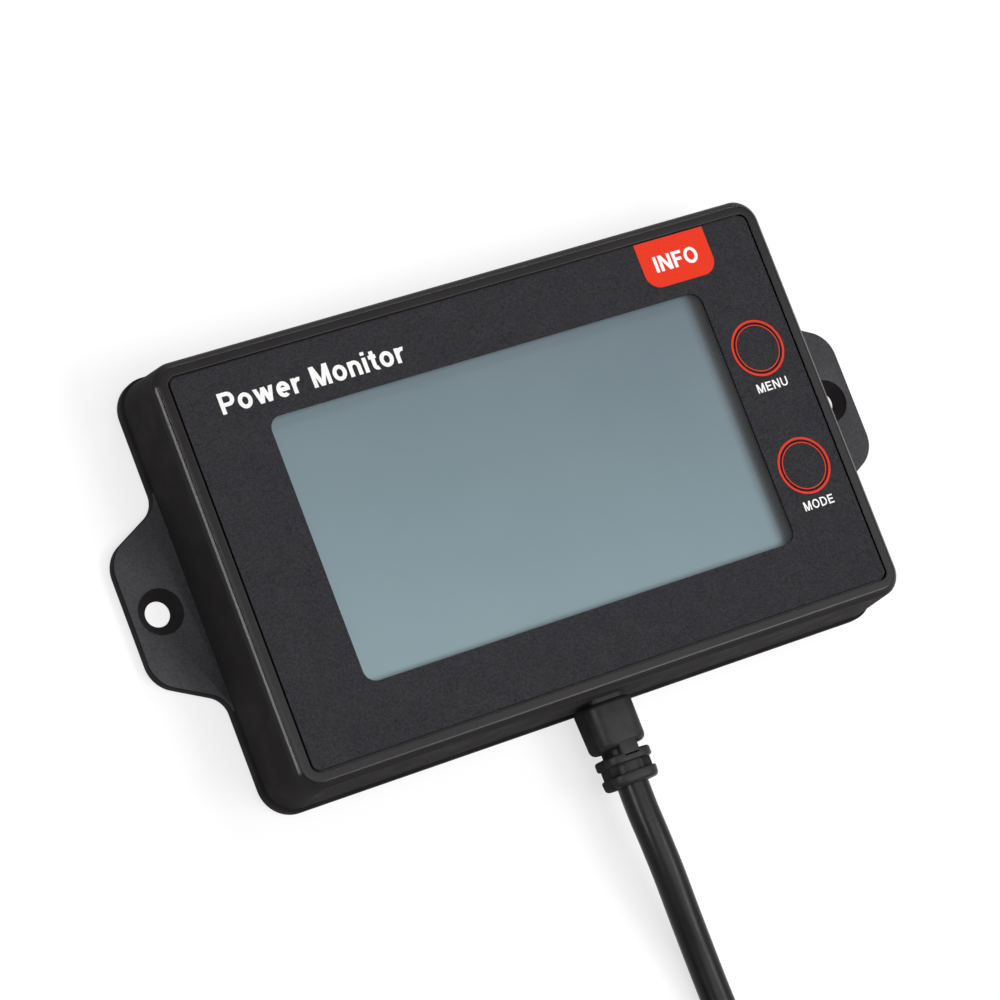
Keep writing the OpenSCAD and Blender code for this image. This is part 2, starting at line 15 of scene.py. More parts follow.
import bmesh
import bpy
import numpy as np
from mathutils import Matrix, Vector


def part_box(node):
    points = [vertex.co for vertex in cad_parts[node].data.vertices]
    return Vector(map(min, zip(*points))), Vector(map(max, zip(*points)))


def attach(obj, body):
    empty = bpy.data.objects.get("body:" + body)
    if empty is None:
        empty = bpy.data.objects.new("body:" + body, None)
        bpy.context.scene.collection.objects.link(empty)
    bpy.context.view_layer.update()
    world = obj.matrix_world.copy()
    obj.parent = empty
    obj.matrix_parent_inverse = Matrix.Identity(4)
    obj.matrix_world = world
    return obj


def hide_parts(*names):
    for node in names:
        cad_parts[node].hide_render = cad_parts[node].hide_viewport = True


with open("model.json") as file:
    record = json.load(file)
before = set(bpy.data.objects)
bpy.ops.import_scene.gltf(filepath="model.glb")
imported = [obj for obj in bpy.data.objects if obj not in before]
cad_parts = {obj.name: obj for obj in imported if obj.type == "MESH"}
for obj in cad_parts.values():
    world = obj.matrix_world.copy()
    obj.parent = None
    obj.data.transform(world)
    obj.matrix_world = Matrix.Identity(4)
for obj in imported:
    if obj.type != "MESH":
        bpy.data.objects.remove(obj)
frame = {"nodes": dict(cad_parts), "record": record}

log = logging.getLogger("meter")
MM = 0.001  # metres in a millimetre
ROOT = "root"
KEYS = ("upper", "lower")
MARKS_PER_M = 210.0  # handling marks in the roughness
MATT_FADE_MM = 0.4  # height over which a matt foot sets in
# Degrees past which an edge stays sharp, and past which a CAD edge is broken by a bevel.
CREASE, SOFT_CREASE, CAD_CREASE, BROKEN = 38.0, 32.0, 35.0, 50.0
CORD_AXIS = 7.6  # height of the cable's axis at the strain relief, millimetres
Array = np.ndarray
Triple = tuple[float, float, float]
Colour = Triple
Pair = tuple[float, float]
Mesh = bpy.types.Mesh
Socket = bpy.types.NodeSocket


class Slot(Enum):
    """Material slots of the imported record."""

    HOUSING = "housing_black"
    FILM = "film_charcoal"
    WINDOW = "window_clear"
    GLASS = "glass_plate"
    WHITE = "white_plastic"
    BOARD = "board_green"
    STEEL = "steel_plain"
    CHIP = "chip_black"
    CAN = "can_silver"
    TAN = "chip_tan"
    NYLON = "nylon_natural"
    WIRE = "wire_red"
    BOOT = "boot_black"
    CORD = "cord_black"
    PLUG = "plug_clear"
    CONTACT = "contact_gold"


class Grain(Enum):
    """Kinds of surface relief."""

    ERODED = "eroded"
    LEATHER = "leather"
    BRUSHED = "brushed"
    SMOOTH = "smooth"


# ---------------------------------------------------------------- finishes


@dataclass(frozen=True)
class Finish:
    """One procedural finish.

    Attributes:
        name: Name of the Blender material.
        slot: The record's slot that the finish stands for.
        colour: Base colour, linear.
        rough: Mean roughness.
        grain: Kind of surface relief.
        grain_mm: Size of one grain, in millimetres.
        relief_mm: Height of the relief, in millimetres.
        mottle: Share by which the colour varies over the surface.
        mottle_mm: Size of one patch of colour, in millimetres.
        polish: Share by which the roughness varies over the surface.
        metal: Metallic value.
        specular: Specular level.
        alpha: Opacity.
        clear: Transmission weight.
        matt: Mean roughness below matt_below_mm.
        matt_below_mm: Height under which the surface is matt; 0 for nowhere.
    """

    name: str
    slot: Slot
    colour: Colour
    rough: float
    grain: Grain = Grain.SMOOTH
    grain_mm: float = 0.3
    relief_mm: float = 0.01
    mottle: float = 0.1
    mottle_mm: float = 22.0
    polish: float = 0.15
    metal: float = 0.0
    specular: float = 0.5
    alpha: float = 1.0
    clear: float = 0.0
    matt: float = 0.6
    matt_below_mm: float = 0.0

    def material(self) -> bpy.types.Material:
        """Returns the finish's material, made once."""
        known = bpy.data.materials.get(self.name)
        if known is not None:
            return known
        graph = Graph(bpy.data.materials.new(self.name))
        place = graph.place()
        inputs = {
            "Metallic": self.metal, "Specular IOR Level": self.specular, "Alpha": self.alpha,
            "Transmission Weight": self.clear, "Base Color": self._paint(graph, place),
            "Roughness": self._wear(graph, place),
        }
        if self.grain is not Grain.SMOOTH:
            height = graph.relief(place, self.grain, self.grain_mm * MM)
            inputs["Normal"] = graph.bump(height, self.relief_mm * MM)
        graph.output(graph.add("ShaderNodeBsdfPrincipled", inputs).outputs["BSDF"])
        return graph.owner

    def _paint(self, graph: "Graph", place: Socket) -> Socket:
        """Returns a colour that varies from patch to patch."""
        drift = graph.noise(place, 1.0 / (self.mottle_mm * MM), 2.0)
        low = tuple(c * (1.0 - self.mottle) for c in self.colour)
        high = tuple(min(1.0, c * (1.0 + self.mottle)) for c in self.colour)
        return graph.ramp(drift, low, high)

    def _wear(self, graph: "Graph", place: Socket) -> Socket:
        """Returns a roughness with faint handling marks, and the matt one low down where that is set."""
        marks = graph.noise(place, MARKS_PER_M, 4.0)
        low, high = self.rough * (1.0 - self.polish), min(1.0, self.rough * (1.0 + self.polish))
        rough = graph.spread(marks, low, high)
        if not self.matt_below_mm:
            return rough
        height = graph.add("ShaderNodeSeparateXYZ", {"Vector": place}).outputs["Z"]
        fade = ((self.matt_below_mm - MATT_FADE_MM) * MM, self.matt_below_mm * MM)
        return graph.math("MULTIPLY", rough, graph.spread(height, self.matt / self.rough, 1.0, fade))


class Graph:
    """Small helper that adds and links the nodes of one material or world."""

    def __init__(self, owner: bpy.types.Material | bpy.types.World) -> None:
        """Empties the node tree of owner."""
        owner.use_nodes = True
        self.owner = owner
        self.tree = owner.node_tree
        self.tree.nodes.clear()

    def add(self, kind: str, inputs: dict[str | int, object] | None = None) -> bpy.types.Node:
        """Adds a node.

        Args:
            kind: Kind of node.
            inputs: What goes into its inputs: a socket is linked and a value is set.

        Returns:
            The node.
        """
        node = self.tree.nodes.new(kind)
        for name, value in (inputs or {}).items():
            if isinstance(value, Socket):
                self.tree.links.new(value, node.inputs[name])
            else:
                node.inputs[name].default_value = value
        return node

    def output(self, surface: Socket, kind: str = "ShaderNodeOutputMaterial") -> None:
        """Ends the graph with a surface output."""
        self.add(kind, {"Surface": surface})

    def place(self) -> Socket:
        """Returns the object coordinates."""
        return self.add("ShaderNodeTexCoord").outputs["Object"]

    def noise(self, place: Socket, scale: float, detail: float) -> Socket:
        """Returns fractal noise at a scale per metre."""
        inputs = {"Scale": scale, "Detail": detail, "Vector": place}
        return self.add("ShaderNodeTexNoise", inputs).outputs["Fac"]

    def spread(self, value: Socket, low: float, high: float, span: Pair = (0.3, 0.7)) -> Socket:
        """Returns value, carried from span to low..high."""
        inputs = {"From Min": span[0], "From Max": span[1], "To Min": low, "To Max": high, "Value": value}
        return self.add("ShaderNodeMapRange", inputs).outputs["Result"]

    def ramp(self, value: Socket, low: Colour, high: Colour, stops: Pair = (0.3, 0.7)) -> Socket:
        """Returns the linear colour at value: low up to the first stop, high from the second one."""
        node = self.add("ShaderNodeValToRGB", {"Fac": value})
        for element, stop, colour in zip(node.color_ramp.elements, stops, (low, high)):
            element.position = stop
            element.color = (*colour, 1.0)
        return node.outputs["Color"]

    def bump(self, height: Socket, distance: float) -> Socket:
        """Returns a normal raised by height times distance, in metres."""
        return self.add("ShaderNodeBump", {"Distance": distance, "Height": height}).outputs["Normal"]

    def math(self, operation: str, first: Socket, second: Socket | float) -> Socket:
        """Returns one arithmetic step on a socket and a socket or number."""
        node = self.add("ShaderNodeMath", {0: first, 1: second})
        node.operation = operation
        return node.outputs["Value"]

    def either(self, share: Socket, first: Socket, second: Socket) -> Socket:
        """Returns the first shader where share is 0 and the second where it is 1."""
        return self.add("ShaderNodeMixShader", {0: share, 1: first, 2: second}).outputs["Shader"]

    def shown(self) -> Socket:
        """Returns 1 for rays from the camera, off gloss or through glass, and 0 for all others."""
        rays = self.add("ShaderNodeLightPath").outputs
        direct = self.math("MAXIMUM", rays["Is Camera Ray"], rays["Is Glossy Ray"])
        return self.math("MAXIMUM", direct, rays["Is Transmission Ray"])

    def relief(self, place: Socket, grain: Grain, size: float) -> Socket:
        """Returns the height field of a grain.

        Eroded is plain noise, brushed is noise drawn out twelvefold along X, and leather is round
        cells with finer noise on top.

        Args:
            place: Object coordinates.
            grain: Kind of relief.
            size: Size of one grain in metres.

        Returns:
            A height between 0 and 1.
        """
        if grain is Grain.ERODED:
            return self.noise(place, 1.0 / size, 3.0)
        if grain is Grain.BRUSHED:
            drawn = self.add("ShaderNodeMapping", {"Scale": (1.0, 12.0, 12.0), "Vector": place})
            return self.noise(drawn.outputs["Vector"], 0.2 / size, 2.0)
        cells = self.add("ShaderNodeTexVoronoi", {"Scale": 1.0 / size, "Vector": place})
        cells.feature = "SMOOTH_F1"
        pebbles = self.math("MULTIPLY", cells.outputs["Distance"], 0.9)
        return self.math("ADD", pebbles, self.noise(place, 1.6 / size, 3.0))


@dataclass(frozen=True)
class DisplayFinish:
    """Satin polariser of an unlit liquid-crystal display, with painted shading and a painted shadow along its
    right edge.

    Attributes:
        near: Colour at the lower left, where the painted shading is lightest.
        far: Colour at the upper right, where the painted shading is darkest.
        edge_shadow: Colour of the painted shadow at the right edge.
        reach_mm: Half the height over which the painted shading runs.
        lean: How much X counts in the painted shading, against Y.
        edge_shadow_mm: Where the painted shadow starts and ends, along X.
        rough: Roughness of the surface.
        specular: Specular level.
        haze: Grains per metre and height, in millimetres, of the satin haze.
    """

    near: Colour
    far: Colour
    edge_shadow: Colour
    reach_mm: float
    lean: float
    edge_shadow_mm: Pair
    rough: float
    specular: float = 0.12
    haze: Pair = (9000.0, 0.002)

    def material(self) -> bpy.types.Material:
        """Returns the display's material."""
        graph = Graph(bpy.data.materials.new("display_polariser"))
        place = graph.place()
        axes = graph.add("ShaderNodeSeparateXYZ", {"Vector": place}).outputs
        # Painted shading: the colour runs from near at the lower left to far at the upper right.
        rise = graph.math("ADD", graph.math("MULTIPLY", axes["X"], self.lean), axes["Y"])
        share = graph.math("ADD", graph.math("MULTIPLY", rise, 0.5 / (self.reach_mm * MM)), 0.5)
        shade = graph.ramp(share, self.near, self.far, (0.0, 1.0))
        # Painted shadow: the colour darkens towards the right edge, between these two X values.
        start, end = (x * MM for x in self.edge_shadow_mm)
        edge = graph.add("ShaderNodeMapRange", {"From Min": start, "From Max": end, "Value": axes["X"]})
        edge.interpolation_type = "SMOOTHSTEP"
        mixed = graph.add("ShaderNodeMixRGB", {
            "Fac": edge.outputs["Result"], "Color1": shade, "Color2": (*self.edge_shadow, 1.0),
        })
        shader = graph.add("ShaderNodeBsdfPrincipled", {
            "Base Color": mixed.outputs["Color"], "Roughness": self.rough,
            "Specular IOR Level": self.specular,
            "Normal": graph.bump(graph.noise(place, self.haze[0], 2.0), self.haze[1] * MM),
        })
        graph.output(shader.outputs["BSDF"])
        return graph.owner


HOUSING = Finish(
    "moulded_black", Slot.HOUSING, (0.0112, 0.0094, 0.0104), 0.2, Grain.ERODED, 0.14, 0.003, 0.08, 9.0, 0.12,
    specular=0.15, matt=0.95, matt_below_mm=14.2
)
# Ear tops: a real leather texture, with a colour lighter than the housing's that is painted light.
EAR_TOP_PAINTED_LIGHT = Finish(
    "textured_black_painted_light", Slot.HOUSING, (0.0255, 0.0245, 0.0285), 0.5, Grain.LEATHER, 0.3, 0.03, 0.3, 0.4, 0.12,
    specular=0.2
)
FILM = Finish(
    "embossed_film", Slot.FILM, (0.0105, 0.0098, 0.0131), 0.5, Grain.LEATHER, 0.34, 0.16, 0.95, 0.3, 0.15,
    specular=0.16
)
WHITE_INK = Finish(
    "white_ink", Slot.FILM, (0.86, 0.86, 0.85), 0.5, Grain.ERODED, 0.3, 0.006, 0.02, 2.0, specular=0.3
)
RED_INK = Finish(
    "red_ink", Slot.FILM, (0.72, 0.028, 0.0045), 0.5, Grain.LEATHER, 0.3, 0.01, 0.05, 0.4, specular=0.15
)
PANE = Finish("clear_pane", Slot.WINDOW, (0.8, 0.85, 0.86), 0.22, alpha=0.03, specular=0.08)
BOOT = Finish(
    "soft_vinyl", Slot.BOOT, (0.0145, 0.0136, 0.015), 0.42, Grain.ERODED, 0.22, 0.012, 0.25, 1.5, 0.12,
    specular=0.14, matt=0.95, matt_below_mm=9.6
)
JACKET = Finish(
    "cable_jacket", Slot.CORD, (0.005, 0.0048, 0.0053), 0.3, Grain.ERODED, 0.5, 0.0015, 0.08, 6.0, 0.15,
    specular=0.15
)
STRAP = Finish("tie_strap", Slot.CORD, (0.03, 0.03, 0.03), 0.8, Grain.LEATHER, 0.5, 0.08, 0.2)
STEEL = Finish("zinc_steel", Slot.STEEL, (0.6, 0.6, 0.61), 0.32, Grain.BRUSHED, 0.2, 0.004, 0.06, metal=1.0)
CLEAR_PLUG = Finish("clear_plug", Slot.PLUG, (0.86, 0.9, 0.92), 0.12, clear=0.85, mottle=0.03)
GOLD = Finish("gold_contact", Slot.CONTACT, (0.83, 0.6, 0.22), 0.22, Grain.BRUSHED, 0.1, 0.002, metal=1.0)
GLASS = Finish("display_glass", Slot.GLASS, (0.8, 0.86, 0.85), 0.08, alpha=0.35, mottle=0.03)
WHITE = Finish("white_moulding", Slot.WHITE, (0.8, 0.81, 0.79), 0.5, Grain.ERODED, 0.2, 0.005, 0.04)
BOARD = Finish("solder_mask", Slot.BOARD, (0.02, 0.14, 0.06), 0.3, Grain.ERODED, 0.8, 0.01, 0.15)
CHIP = Finish("chip_epoxy", Slot.CHIP, (0.02, 0.02, 0.021), 0.55, Grain.ERODED, 0.1, 0.008, 0.1)
CAN = Finish("drawn_can", Slot.CAN, (0.72, 0.72, 0.74), 0.3, Grain.BRUSHED, 0.2, 0.003, 0.05, metal=1.0)
TAN = Finish("fired_body", Slot.TAN, (0.52, 0.4, 0.26), 0.6, Grain.ERODED, 0.1, 0.006, 0.1)
NYLON = Finish("natural_nylon", Slot.NYLON, (0.8, 0.77, 0.66), 0.45, Grain.ERODED, 0.2, 0.005, 0.05)
WIRE = Finish("red_wire", Slot.WIRE, (0.5, 0.03, 0.02), 0.35, Grain.ERODED, 0.3, 0.004, 0.08)
# Display colours: painted shading, lighter at the lower left, and a painted shadow darkening the right edge.
DISPLAY = DisplayFinish(
    (0.2, 0.288, 0.32), (0.102, 0.143, 0.171), (0.016, 0.017, 0.02), 34.0, 0.3, (38.0, 41.3), 0.5
)

INSIDE: dict[str, Finish] = {
    "rear_glass": GLASS, "rear_polariser": WHITE, "light_guide": WHITE,
    "backlight_frame": WHITE, "backlight_leds": NYLON, "display_pins": STEEL, "circuit_board": BOARD,
    "board_screws": STEEL, "controller_chip": CHIP, "driver_chip": CHIP, "bus_chip": CHIP,
    "regulator": CHIP, "inductor": CHIP, "crystal": CAN, "can_capacitors": CAN,
    "chip_capacitors": TAN, "chip_resistors": CHIP, "switch_bodies": CHIP,
    "upper_switch_stem": CHIP, "lower_switch_stem": CHIP, "upper_key_plunger": CHIP,
    "lower_key_plunger": CHIP, "cable_header": NYLON, "crimp_housing": NYLON, "inner_wires": WIRE,
}


# ---------------------------------------------------------------- shapes


def arc(centre: Sequence[float], radius: float, start: float, end: float, count: int) -> Array:
    """Returns count points on an arc: centre + radius * (cos, sin) of even angles, in degrees."""
    angle = np.radians(np.linspace(start, end, count))
    return np.c_[centre[0] + radius * np.cos(angle), centre[1] + radius * np.sin(angle)]


def rounded_loop(half_x: float, half_y: float, radius: float, steps: int = 14, side: int = 6) -> Array:
    """Returns a rounded rectangle: four arcs of so many steps, and points added along each side."""
    x, y = half_x - radius, half_y - radius
    corners = [
        arc((x, y), radius, 0, 90, steps), arc((-x, y), radius, 90, 180, steps),
        arc((-x, -y), radius, 180, 270, steps), arc((x, -y), radius, 270, 360, steps),
    ]
    share = np.linspace(0, 1, side + 2)[1:-1, None]
    parts = []
    for here, there in zip(corners, corners[1:] + corners[:1]):
        parts += [here, here[-1] + share * (there[0] - here[-1])]
    return np.vstack(parts)


def lift(loop: Array, height: float) -> Array:
    """Returns a flat loop placed at one height."""
    return np.c_[loop, np.full(len(loop), height)]


def stand(loop: Array, along: float, middle: float) -> Array:
    """Returns a flat loop stood up across Y: its first axis is X and its second is height."""
    return np.c_[loop[:, 0], np.full(len(loop), along), loop[:, 1] + middle]


def lofted(loops: Array, ring: bool = False, angle: float = SOFT_CREASE) -> Mesh:
    """Joins loops of equal length into a closed surface.

    Point (i, k) is point k of loop i, and each face spans neighbours in i and in k. A ring also
    joins the last loop to the first; otherwise the two end loops are capped.

    Args:
        loops: Array of shape (loops, points, 3), millimetres.
        ring: Whether the surface closes on itself.
        angle: Edges sharper than this many degrees stay sharp.

    Returns:
        The mesh, in metres, with its faces outwards.
    """
    rows, count = loops.shape[:2]
    index = np.arange(rows * count).reshape(rows, count)
    here, beyond = (index, np.roll(index, -1, 0)) if ring else (index[:-1], index[1:])
    quads = np.stack([here, np.roll(here, -1, 1), np.roll(beyond, -1, 1), beyond], -1).reshape(-1, 4)
    points = loops.reshape(-1, 3)
    faces = quads.tolist()
    if not ring:
        faces += [index[0][::-1].tolist(), index[-1].tolist()]
    if enclosed(points, faces) < 0:
        faces = [f[::-1] for f in faces]
    return written(points, faces, angle)


def enclosed(points: Array, faces: list[list[int]]) -> float:
    """Returns the signed volume inside a closed surface, as a sum over fans of triangles."""
    total = 0.0
    for size in sorted({len(f) for f in faces}):
        corner = points[np.array([f for f in faces if len(f) == size])]
        for k in range(1, size - 1):
            total += np.einsum("ij,ij->", corner[:, 0], np.cross(corner[:, k], corner[:, k + 1]))
    return total / 6.0


def written(points: Array, faces: list[list[int]], angle: float) -> Mesh:
    """Writes points in millimetres and faces to a smooth mesh with sharp edges past an angle."""
    mesh = bpy.data.meshes.new("shape")
    mesh.from_pydata((points * MM).tolist(), [], faces)
    smoothed(mesh, angle)
    mesh.validate()
    return mesh


def smoothed(mesh: Mesh, angle: float) -> None:
    """Shades a mesh smooth, but for edges sharper than an angle in degrees."""
    mesh.polygons.foreach_set("use_smooth", np.ones(len(mesh.polygons), bool))
    mesh.set_sharp_from_angle(angle=math.radians(angle))


def turned(rows: Array, centre: Sequence[float], steps: int = 96, ring: bool = False) -> Mesh:
    """Turns rows of (radius, height) round an upright axis: x, y = centre + radius * (cos, sin).

    Args:
        rows: Array of shape (n, 2) in millimetres: a profile from pole to pole, or a ring's section.
        centre: Place of the axis.
        steps: Points round the axis.
        ring: Whether the rows are a closed section; otherwise both ends are capped.

    Returns:
        The closed mesh.
    """
    angle = np.linspace(0, 2 * np.pi, steps, endpoint=False)
    circle = np.stack([np.cos(angle), np.sin(angle)], -1)
    flat = rows[:, None, :1] * circle[None] + np.array(centre)
    height = np.broadcast_to(rows[:, None, 1:], (len(rows), steps, 1))
    return lofted(np.concatenate([flat, height], -1), ring)


def plate(loops: Sequence[Array], low: float, high: float, round_mm: float = 0.0) -> Mesh:
    """Fills the area between an outer loop and its holes and gives it a thickness.

    Args:
        loops: The outline, then the holes, each of shape (n, 2), millimetres.
        low: Lower face.
        high: Upper face.
        round_mm: Radius of the rounded edges.

    Returns:
        The mesh, in metres.
    """
    curve = bpy.data.curves.new("outline", "CURVE")
    curve.dimensions = "2D"
    curve.fill_mode = "BOTH"
    curve.extrude = (high - low) / 2 - round_mm
    curve.bevel_depth = round_mm
    curve.bevel_resolution = 2
    curve.offset = -round_mm
    for loop in loops:
        spline = curve.splines.new("POLY")
        spline.points.add(len(loop) - 1)
        spline.points.foreach_set("co", np.c_[loop, np.zeros(len(loop)), np.ones(len(loop))].ravel())
        spline.use_cyclic_u = True
    return meshed(curve, Matrix.Scale(MM, 4) @ Matrix.Translation((0, 0, (low + high) / 2)))


def linked(name: str, data: bpy.types.ID) -> bpy.types.Object:
    """Returns a new object of the scene."""
    thing = bpy.data.objects.new(name, data)
    bpy.context.scene.collection.objects.link(thing)
    return thing


def meshed(curve: bpy.types.Curve, place: Matrix) -> Mesh:
    """Turns a flat curve into a mesh, then puts it in its place."""
    holder = linked("outline", curve)
    graph = bpy.context.evaluated_depsgraph_get()
    mesh = bpy.data.meshes.new_from_object(holder.evaluated_get(graph))
    bpy.data.objects.remove(holder)
    mesh.transform(place)
    merge(mesh)
    mesh.set_sharp_from_angle(angle=math.radians(SOFT_CREASE))
    return mesh


def merge(mesh: Mesh, flatten: bool = False) -> None:
    """Merges doubled points and turns the faces outwards; flatten also joins coplanar faces."""
    work = bmesh.new()
    work.from_mesh(mesh)
    bmesh.ops.remove_doubles(work, verts=work.verts, dist=0.001 * MM)
    if flatten:
        bmesh.ops.dissolve_limit(work, angle_limit=math.radians(0.5), verts=work.verts, edges=work.edges)
    bmesh.ops.recalc_face_normals(work, faces=work.faces)
    work.to_mesh(mesh)
    work.free()


def joined(meshes: Sequence[Mesh]) -> Mesh:
    """Returns several meshes as one."""
    work = bmesh.new()
    for mesh in meshes:
        work.from_mesh(mesh)
    whole = bpy.data.meshes.new("joined")
    work.to_mesh(whole)
    work.free()
    whole.set_sharp_from_angle(angle=math.radians(CREASE))
    return whole


@dataclass(frozen=True)
class Lettering:
    """Plain sans capitals and small letters, each made of bars and bows of one stroke width.

    Sizes are shares of the capital height. A bar runs from (x0, y0) to (x1, y1), cut level at both
    ends if it is steep and upright if it is flat. A bow is the arc (cx + rx cos a, cy + ry sin a)
    from one angle to another, and is a full round where the angles are a turn apart.

    Attributes:
        stroke: Width of the strokes.
        gap: Space between letters.
        blank: Width of a word space.
        ink: Thickness of the ink in millimetres.
        layer: Height by which a stroke clears the one it crosses, in millimetres.
        layers: Number of such steps before they start again.
        facet: Degrees of arc to one facet of a bow.
    """

    stroke: float = 0.19
    gap: float = 0.115
    blank: float = 0.3
    ink: float = 0.02
    layer: float = 0.0015
    layers: int = 6
    facet: float = 9.0

    GLYPHS: ClassVar[dict[str, tuple]] = {
        "D": (0.78, ((0.1, 0, 0.1, 1), (0.1, 0.905, 0.36, 0.905), (0.1, 0.095, 0.36, 0.095),
                     (0.36, 0.5, 0.325, 0.405, -90, 90))),
        "E": (0.66, ((0.1, 0, 0.1, 1), (0.1, 0.905, 0.64, 0.905), (0.1, 0.52, 0.6, 0.52),
                     (0.1, 0.095, 0.66, 0.095))),
        "F": (0.6, ((0.1, 0, 0.1, 1), (0.1, 0.905, 0.6, 0.905), (0.1, 0.5, 0.54, 0.5))),
        "I": (0.2, ((0.1, 0, 0.1, 1),)),
        "M": (0.88, ((0.1, 0, 0.1, 1), (0.78, 0, 0.78, 1), (0.13, 1, 0.44, 0), (0.75, 1, 0.44, 0))),
        "N": (0.76, ((0.1, 0, 0.1, 1), (0.66, 0, 0.66, 1), (0.12, 1, 0.64, 0))),
        "O": (0.84, ((0.42, 0.5, 0.325, 0.415, 0, 360),)),
        "P": (0.72, ((0.1, 0, 0.1, 1), (0.1, 0.905, 0.42, 0.905), (0.1, 0.42, 0.42, 0.42),
                     (0.42, 0.6625, 0.205, 0.2425, -90, 90))),
        "U": (0.76, ((0.1, 1, 0.1, 0.36), (0.66, 1, 0.66, 0.36), (0.38, 0.36, 0.28, 0.275, 180, 360))),
        "e": (0.62, ((0.31, 0.365, 0.215, 0.28, 0, 308), (0.09, 0.365, 0.6, 0.365))),
        "i": (0.2, ((0.1, 0, 0.1, 0.73), (0.1, 0.84, 0.1, 1))),
        "n": (0.6, ((0.1, 0, 0.1, 0.73), (0.5, 0, 0.5, 0.42), (0.3, 0.42, 0.2, 0.225, 0, 180))),
        "o": (0.65, ((0.325, 0.365, 0.23, 0.285, 0, 360),)),
        "r": (0.42, ((0.1, 0, 0.1, 0.73), (0.36, 0.385, 0.25, 0.25, 75, 180))),
        "t": (0.37, ((0.19, 0.22, 0.19, 0.93), (0, 0.655, 0.36, 0.655),
                     (0.33, 0.23, 0.14, 0.145, 180, 285))),
        "w": (0.94, ((0.1, 0.73, 0.28, 0), (0.28, 0, 0.47, 0.73), (0.47, 0.73, 0.66, 0),
                     (0.66, 0, 0.84, 0.73))),
    }

    def width(self, words: str) -> float:
        """Returns the width of words, as a share of the capital height."""
        letters = [self.GLYPHS[c][0] if c != " " else self.blank for c in words]
        return sum(letters) + self.gap * (len(words) - 1)

    def mesh(self, words: str, left: float, base: float, width: float, cap: float, high: float) -> Mesh:
        """Sets words on a base line.

        Args:
            words: What is set.
            left: Left edge, millimetres.
            base: Base line.
            width: Width over all.
            cap: Height of the capitals.
            high: Level of the ink's upper face.

        Returns:
            The mesh of the ink.
        """
        size = np.array([width / self.width(words), cap])
        pen, step, strokes = 0.0, 0.0, []
        for letter in words:
            if letter == " ":
                pen += self.blank + self.gap
                continue
            advance, parts = self.GLYPHS[letter]
            for part in parts:
                line, across = self._bar(*part) if len(part) == 4 else self._bow(*part)
                strokes.append(self._ribbon(line + (pen, 0), across, size, (left, base, high - step)))
                step = (step + self.layer) % (self.layers * self.layer)
            pen += advance + self.gap
        return joined(strokes)

    def _bar(self, x0: float, y0: float, x1: float, y1: float) -> tuple[Array, Array]:
        """Returns a straight stroke's middle line and its half width as vectors."""
        run = np.array([x1 - x0, y1 - y0])
        steep = abs(run[1]) >= abs(run[0])
        half = self.stroke / 2 * np.linalg.norm(run) / (abs(run[1]) if steep else abs(run[0]))
        across = np.array([half, 0.0]) if steep else np.array([0.0, half])
        return np.array([[x0, y0], [x1, y1]], float), np.tile(across, (2, 1))

    def _bow(
        self, cx: float, cy: float, rx: float, ry: float, start: float, end: float
    ) -> tuple[Array, Array]:
        """Returns a bow's middle line and its half width along the normal of the arc."""
        count = max(6, int(abs(end - start) / self.facet))
        angle = np.radians(np.linspace(start, end, count))
        line = np.c_[cx + rx * np.cos(angle), cy + ry * np.sin(angle)]
        normal = np.c_[ry * np.cos(angle), rx * np.sin(angle)]
        return line, self.stroke / 2 * normal / np.linalg.norm(normal, axis=1, keepdims=True)

    def _ribbon(self, line: Array, across: Array, size: Array, place: Triple) -> Mesh:
        """Returns a stroke: a rectangle of ink carried along its middle line."""
        left, base, high = place
        inner, outer = (line - across) * size + (left, base), (line + across) * size + (left, base)
        low = high - self.ink
        loops = np.stack([lift(inner, low), lift(outer, low), lift(outer, high), lift(inner, high)], 1)
        closed = np.allclose(line[0], line[-1])
        return lofted(loops[:-1] if closed else loops, ring=closed)


def smooth_path(points: Array, step: float) -> Array:
    """Returns a Catmull-Rom curve through points.

    Between two points the curve is the cubic whose end slopes are half the step between the
    neighbours; the end neighbours are mirrored.

    Args:
        points: Array of shape (n, 3).
        step: Rough spacing of the returned points.

    Returns:
        Points along the curve, the first and last ones included.
    """
    padded = np.vstack([2 * points[0] - points[1], points, 2 * points[-1] - points[-2]])
    parts = []
    for p0, p1, p2, p3 in zip(padded, padded[1:], padded[2:], padded[3:]):
        count = max(2, int(round(np.linalg.norm(p2 - p1) / step)))
        t = np.linspace(0, 1, count, endpoint=False)[:, None]
        bend, twist = 2 * p0 - 5 * p1 + 4 * p2 - p3, 3 * p1 - p0 - 3 * p2 + p3
        parts.append(0.5 * (2 * p1 + (p2 - p0) * t + bend * t**2 + twist * t**3))
    return np.vstack(parts + [points[-1:]])


def tube_loops(path: Array, radius: float, sides: int) -> Array:
    """Returns the rings of a tube: path plus radius times (cos * side + sin * up)."""
    way = np.gradient(path, axis=0)
    way /= np.linalg.norm(way, axis=1, keepdims=True)
    side = np.cross(way, (0.0, 0.0, 1.0))
    side /= np.linalg.norm(side, axis=1, keepdims=True)
    rise = np.cross(side, way)
    angle = np.linspace(0, 2 * np.pi, sides, endpoint=False)
    cosine, sine = np.cos(angle)[None, :, None], np.sin(angle)[None, :, None]
    return path[:, None] + radius * (cosine * side[:, None] + sine * rise[:, None])


def node_box(node: str) -> tuple[Array, Array]:
    """Returns a CAD node's lowest and highest corners in millimetres."""
    low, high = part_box(node)
    return np.array(low) / MM, np.array(high) / MM


def key_disc(name: str) -> tuple[Array, float]:
    """Returns the centre and radius of one key's disc."""
    low, high = node_box(f"{name}_key_disc")
    return (low + high)[:2] / 2, float(high[0] - low[0]) / 2


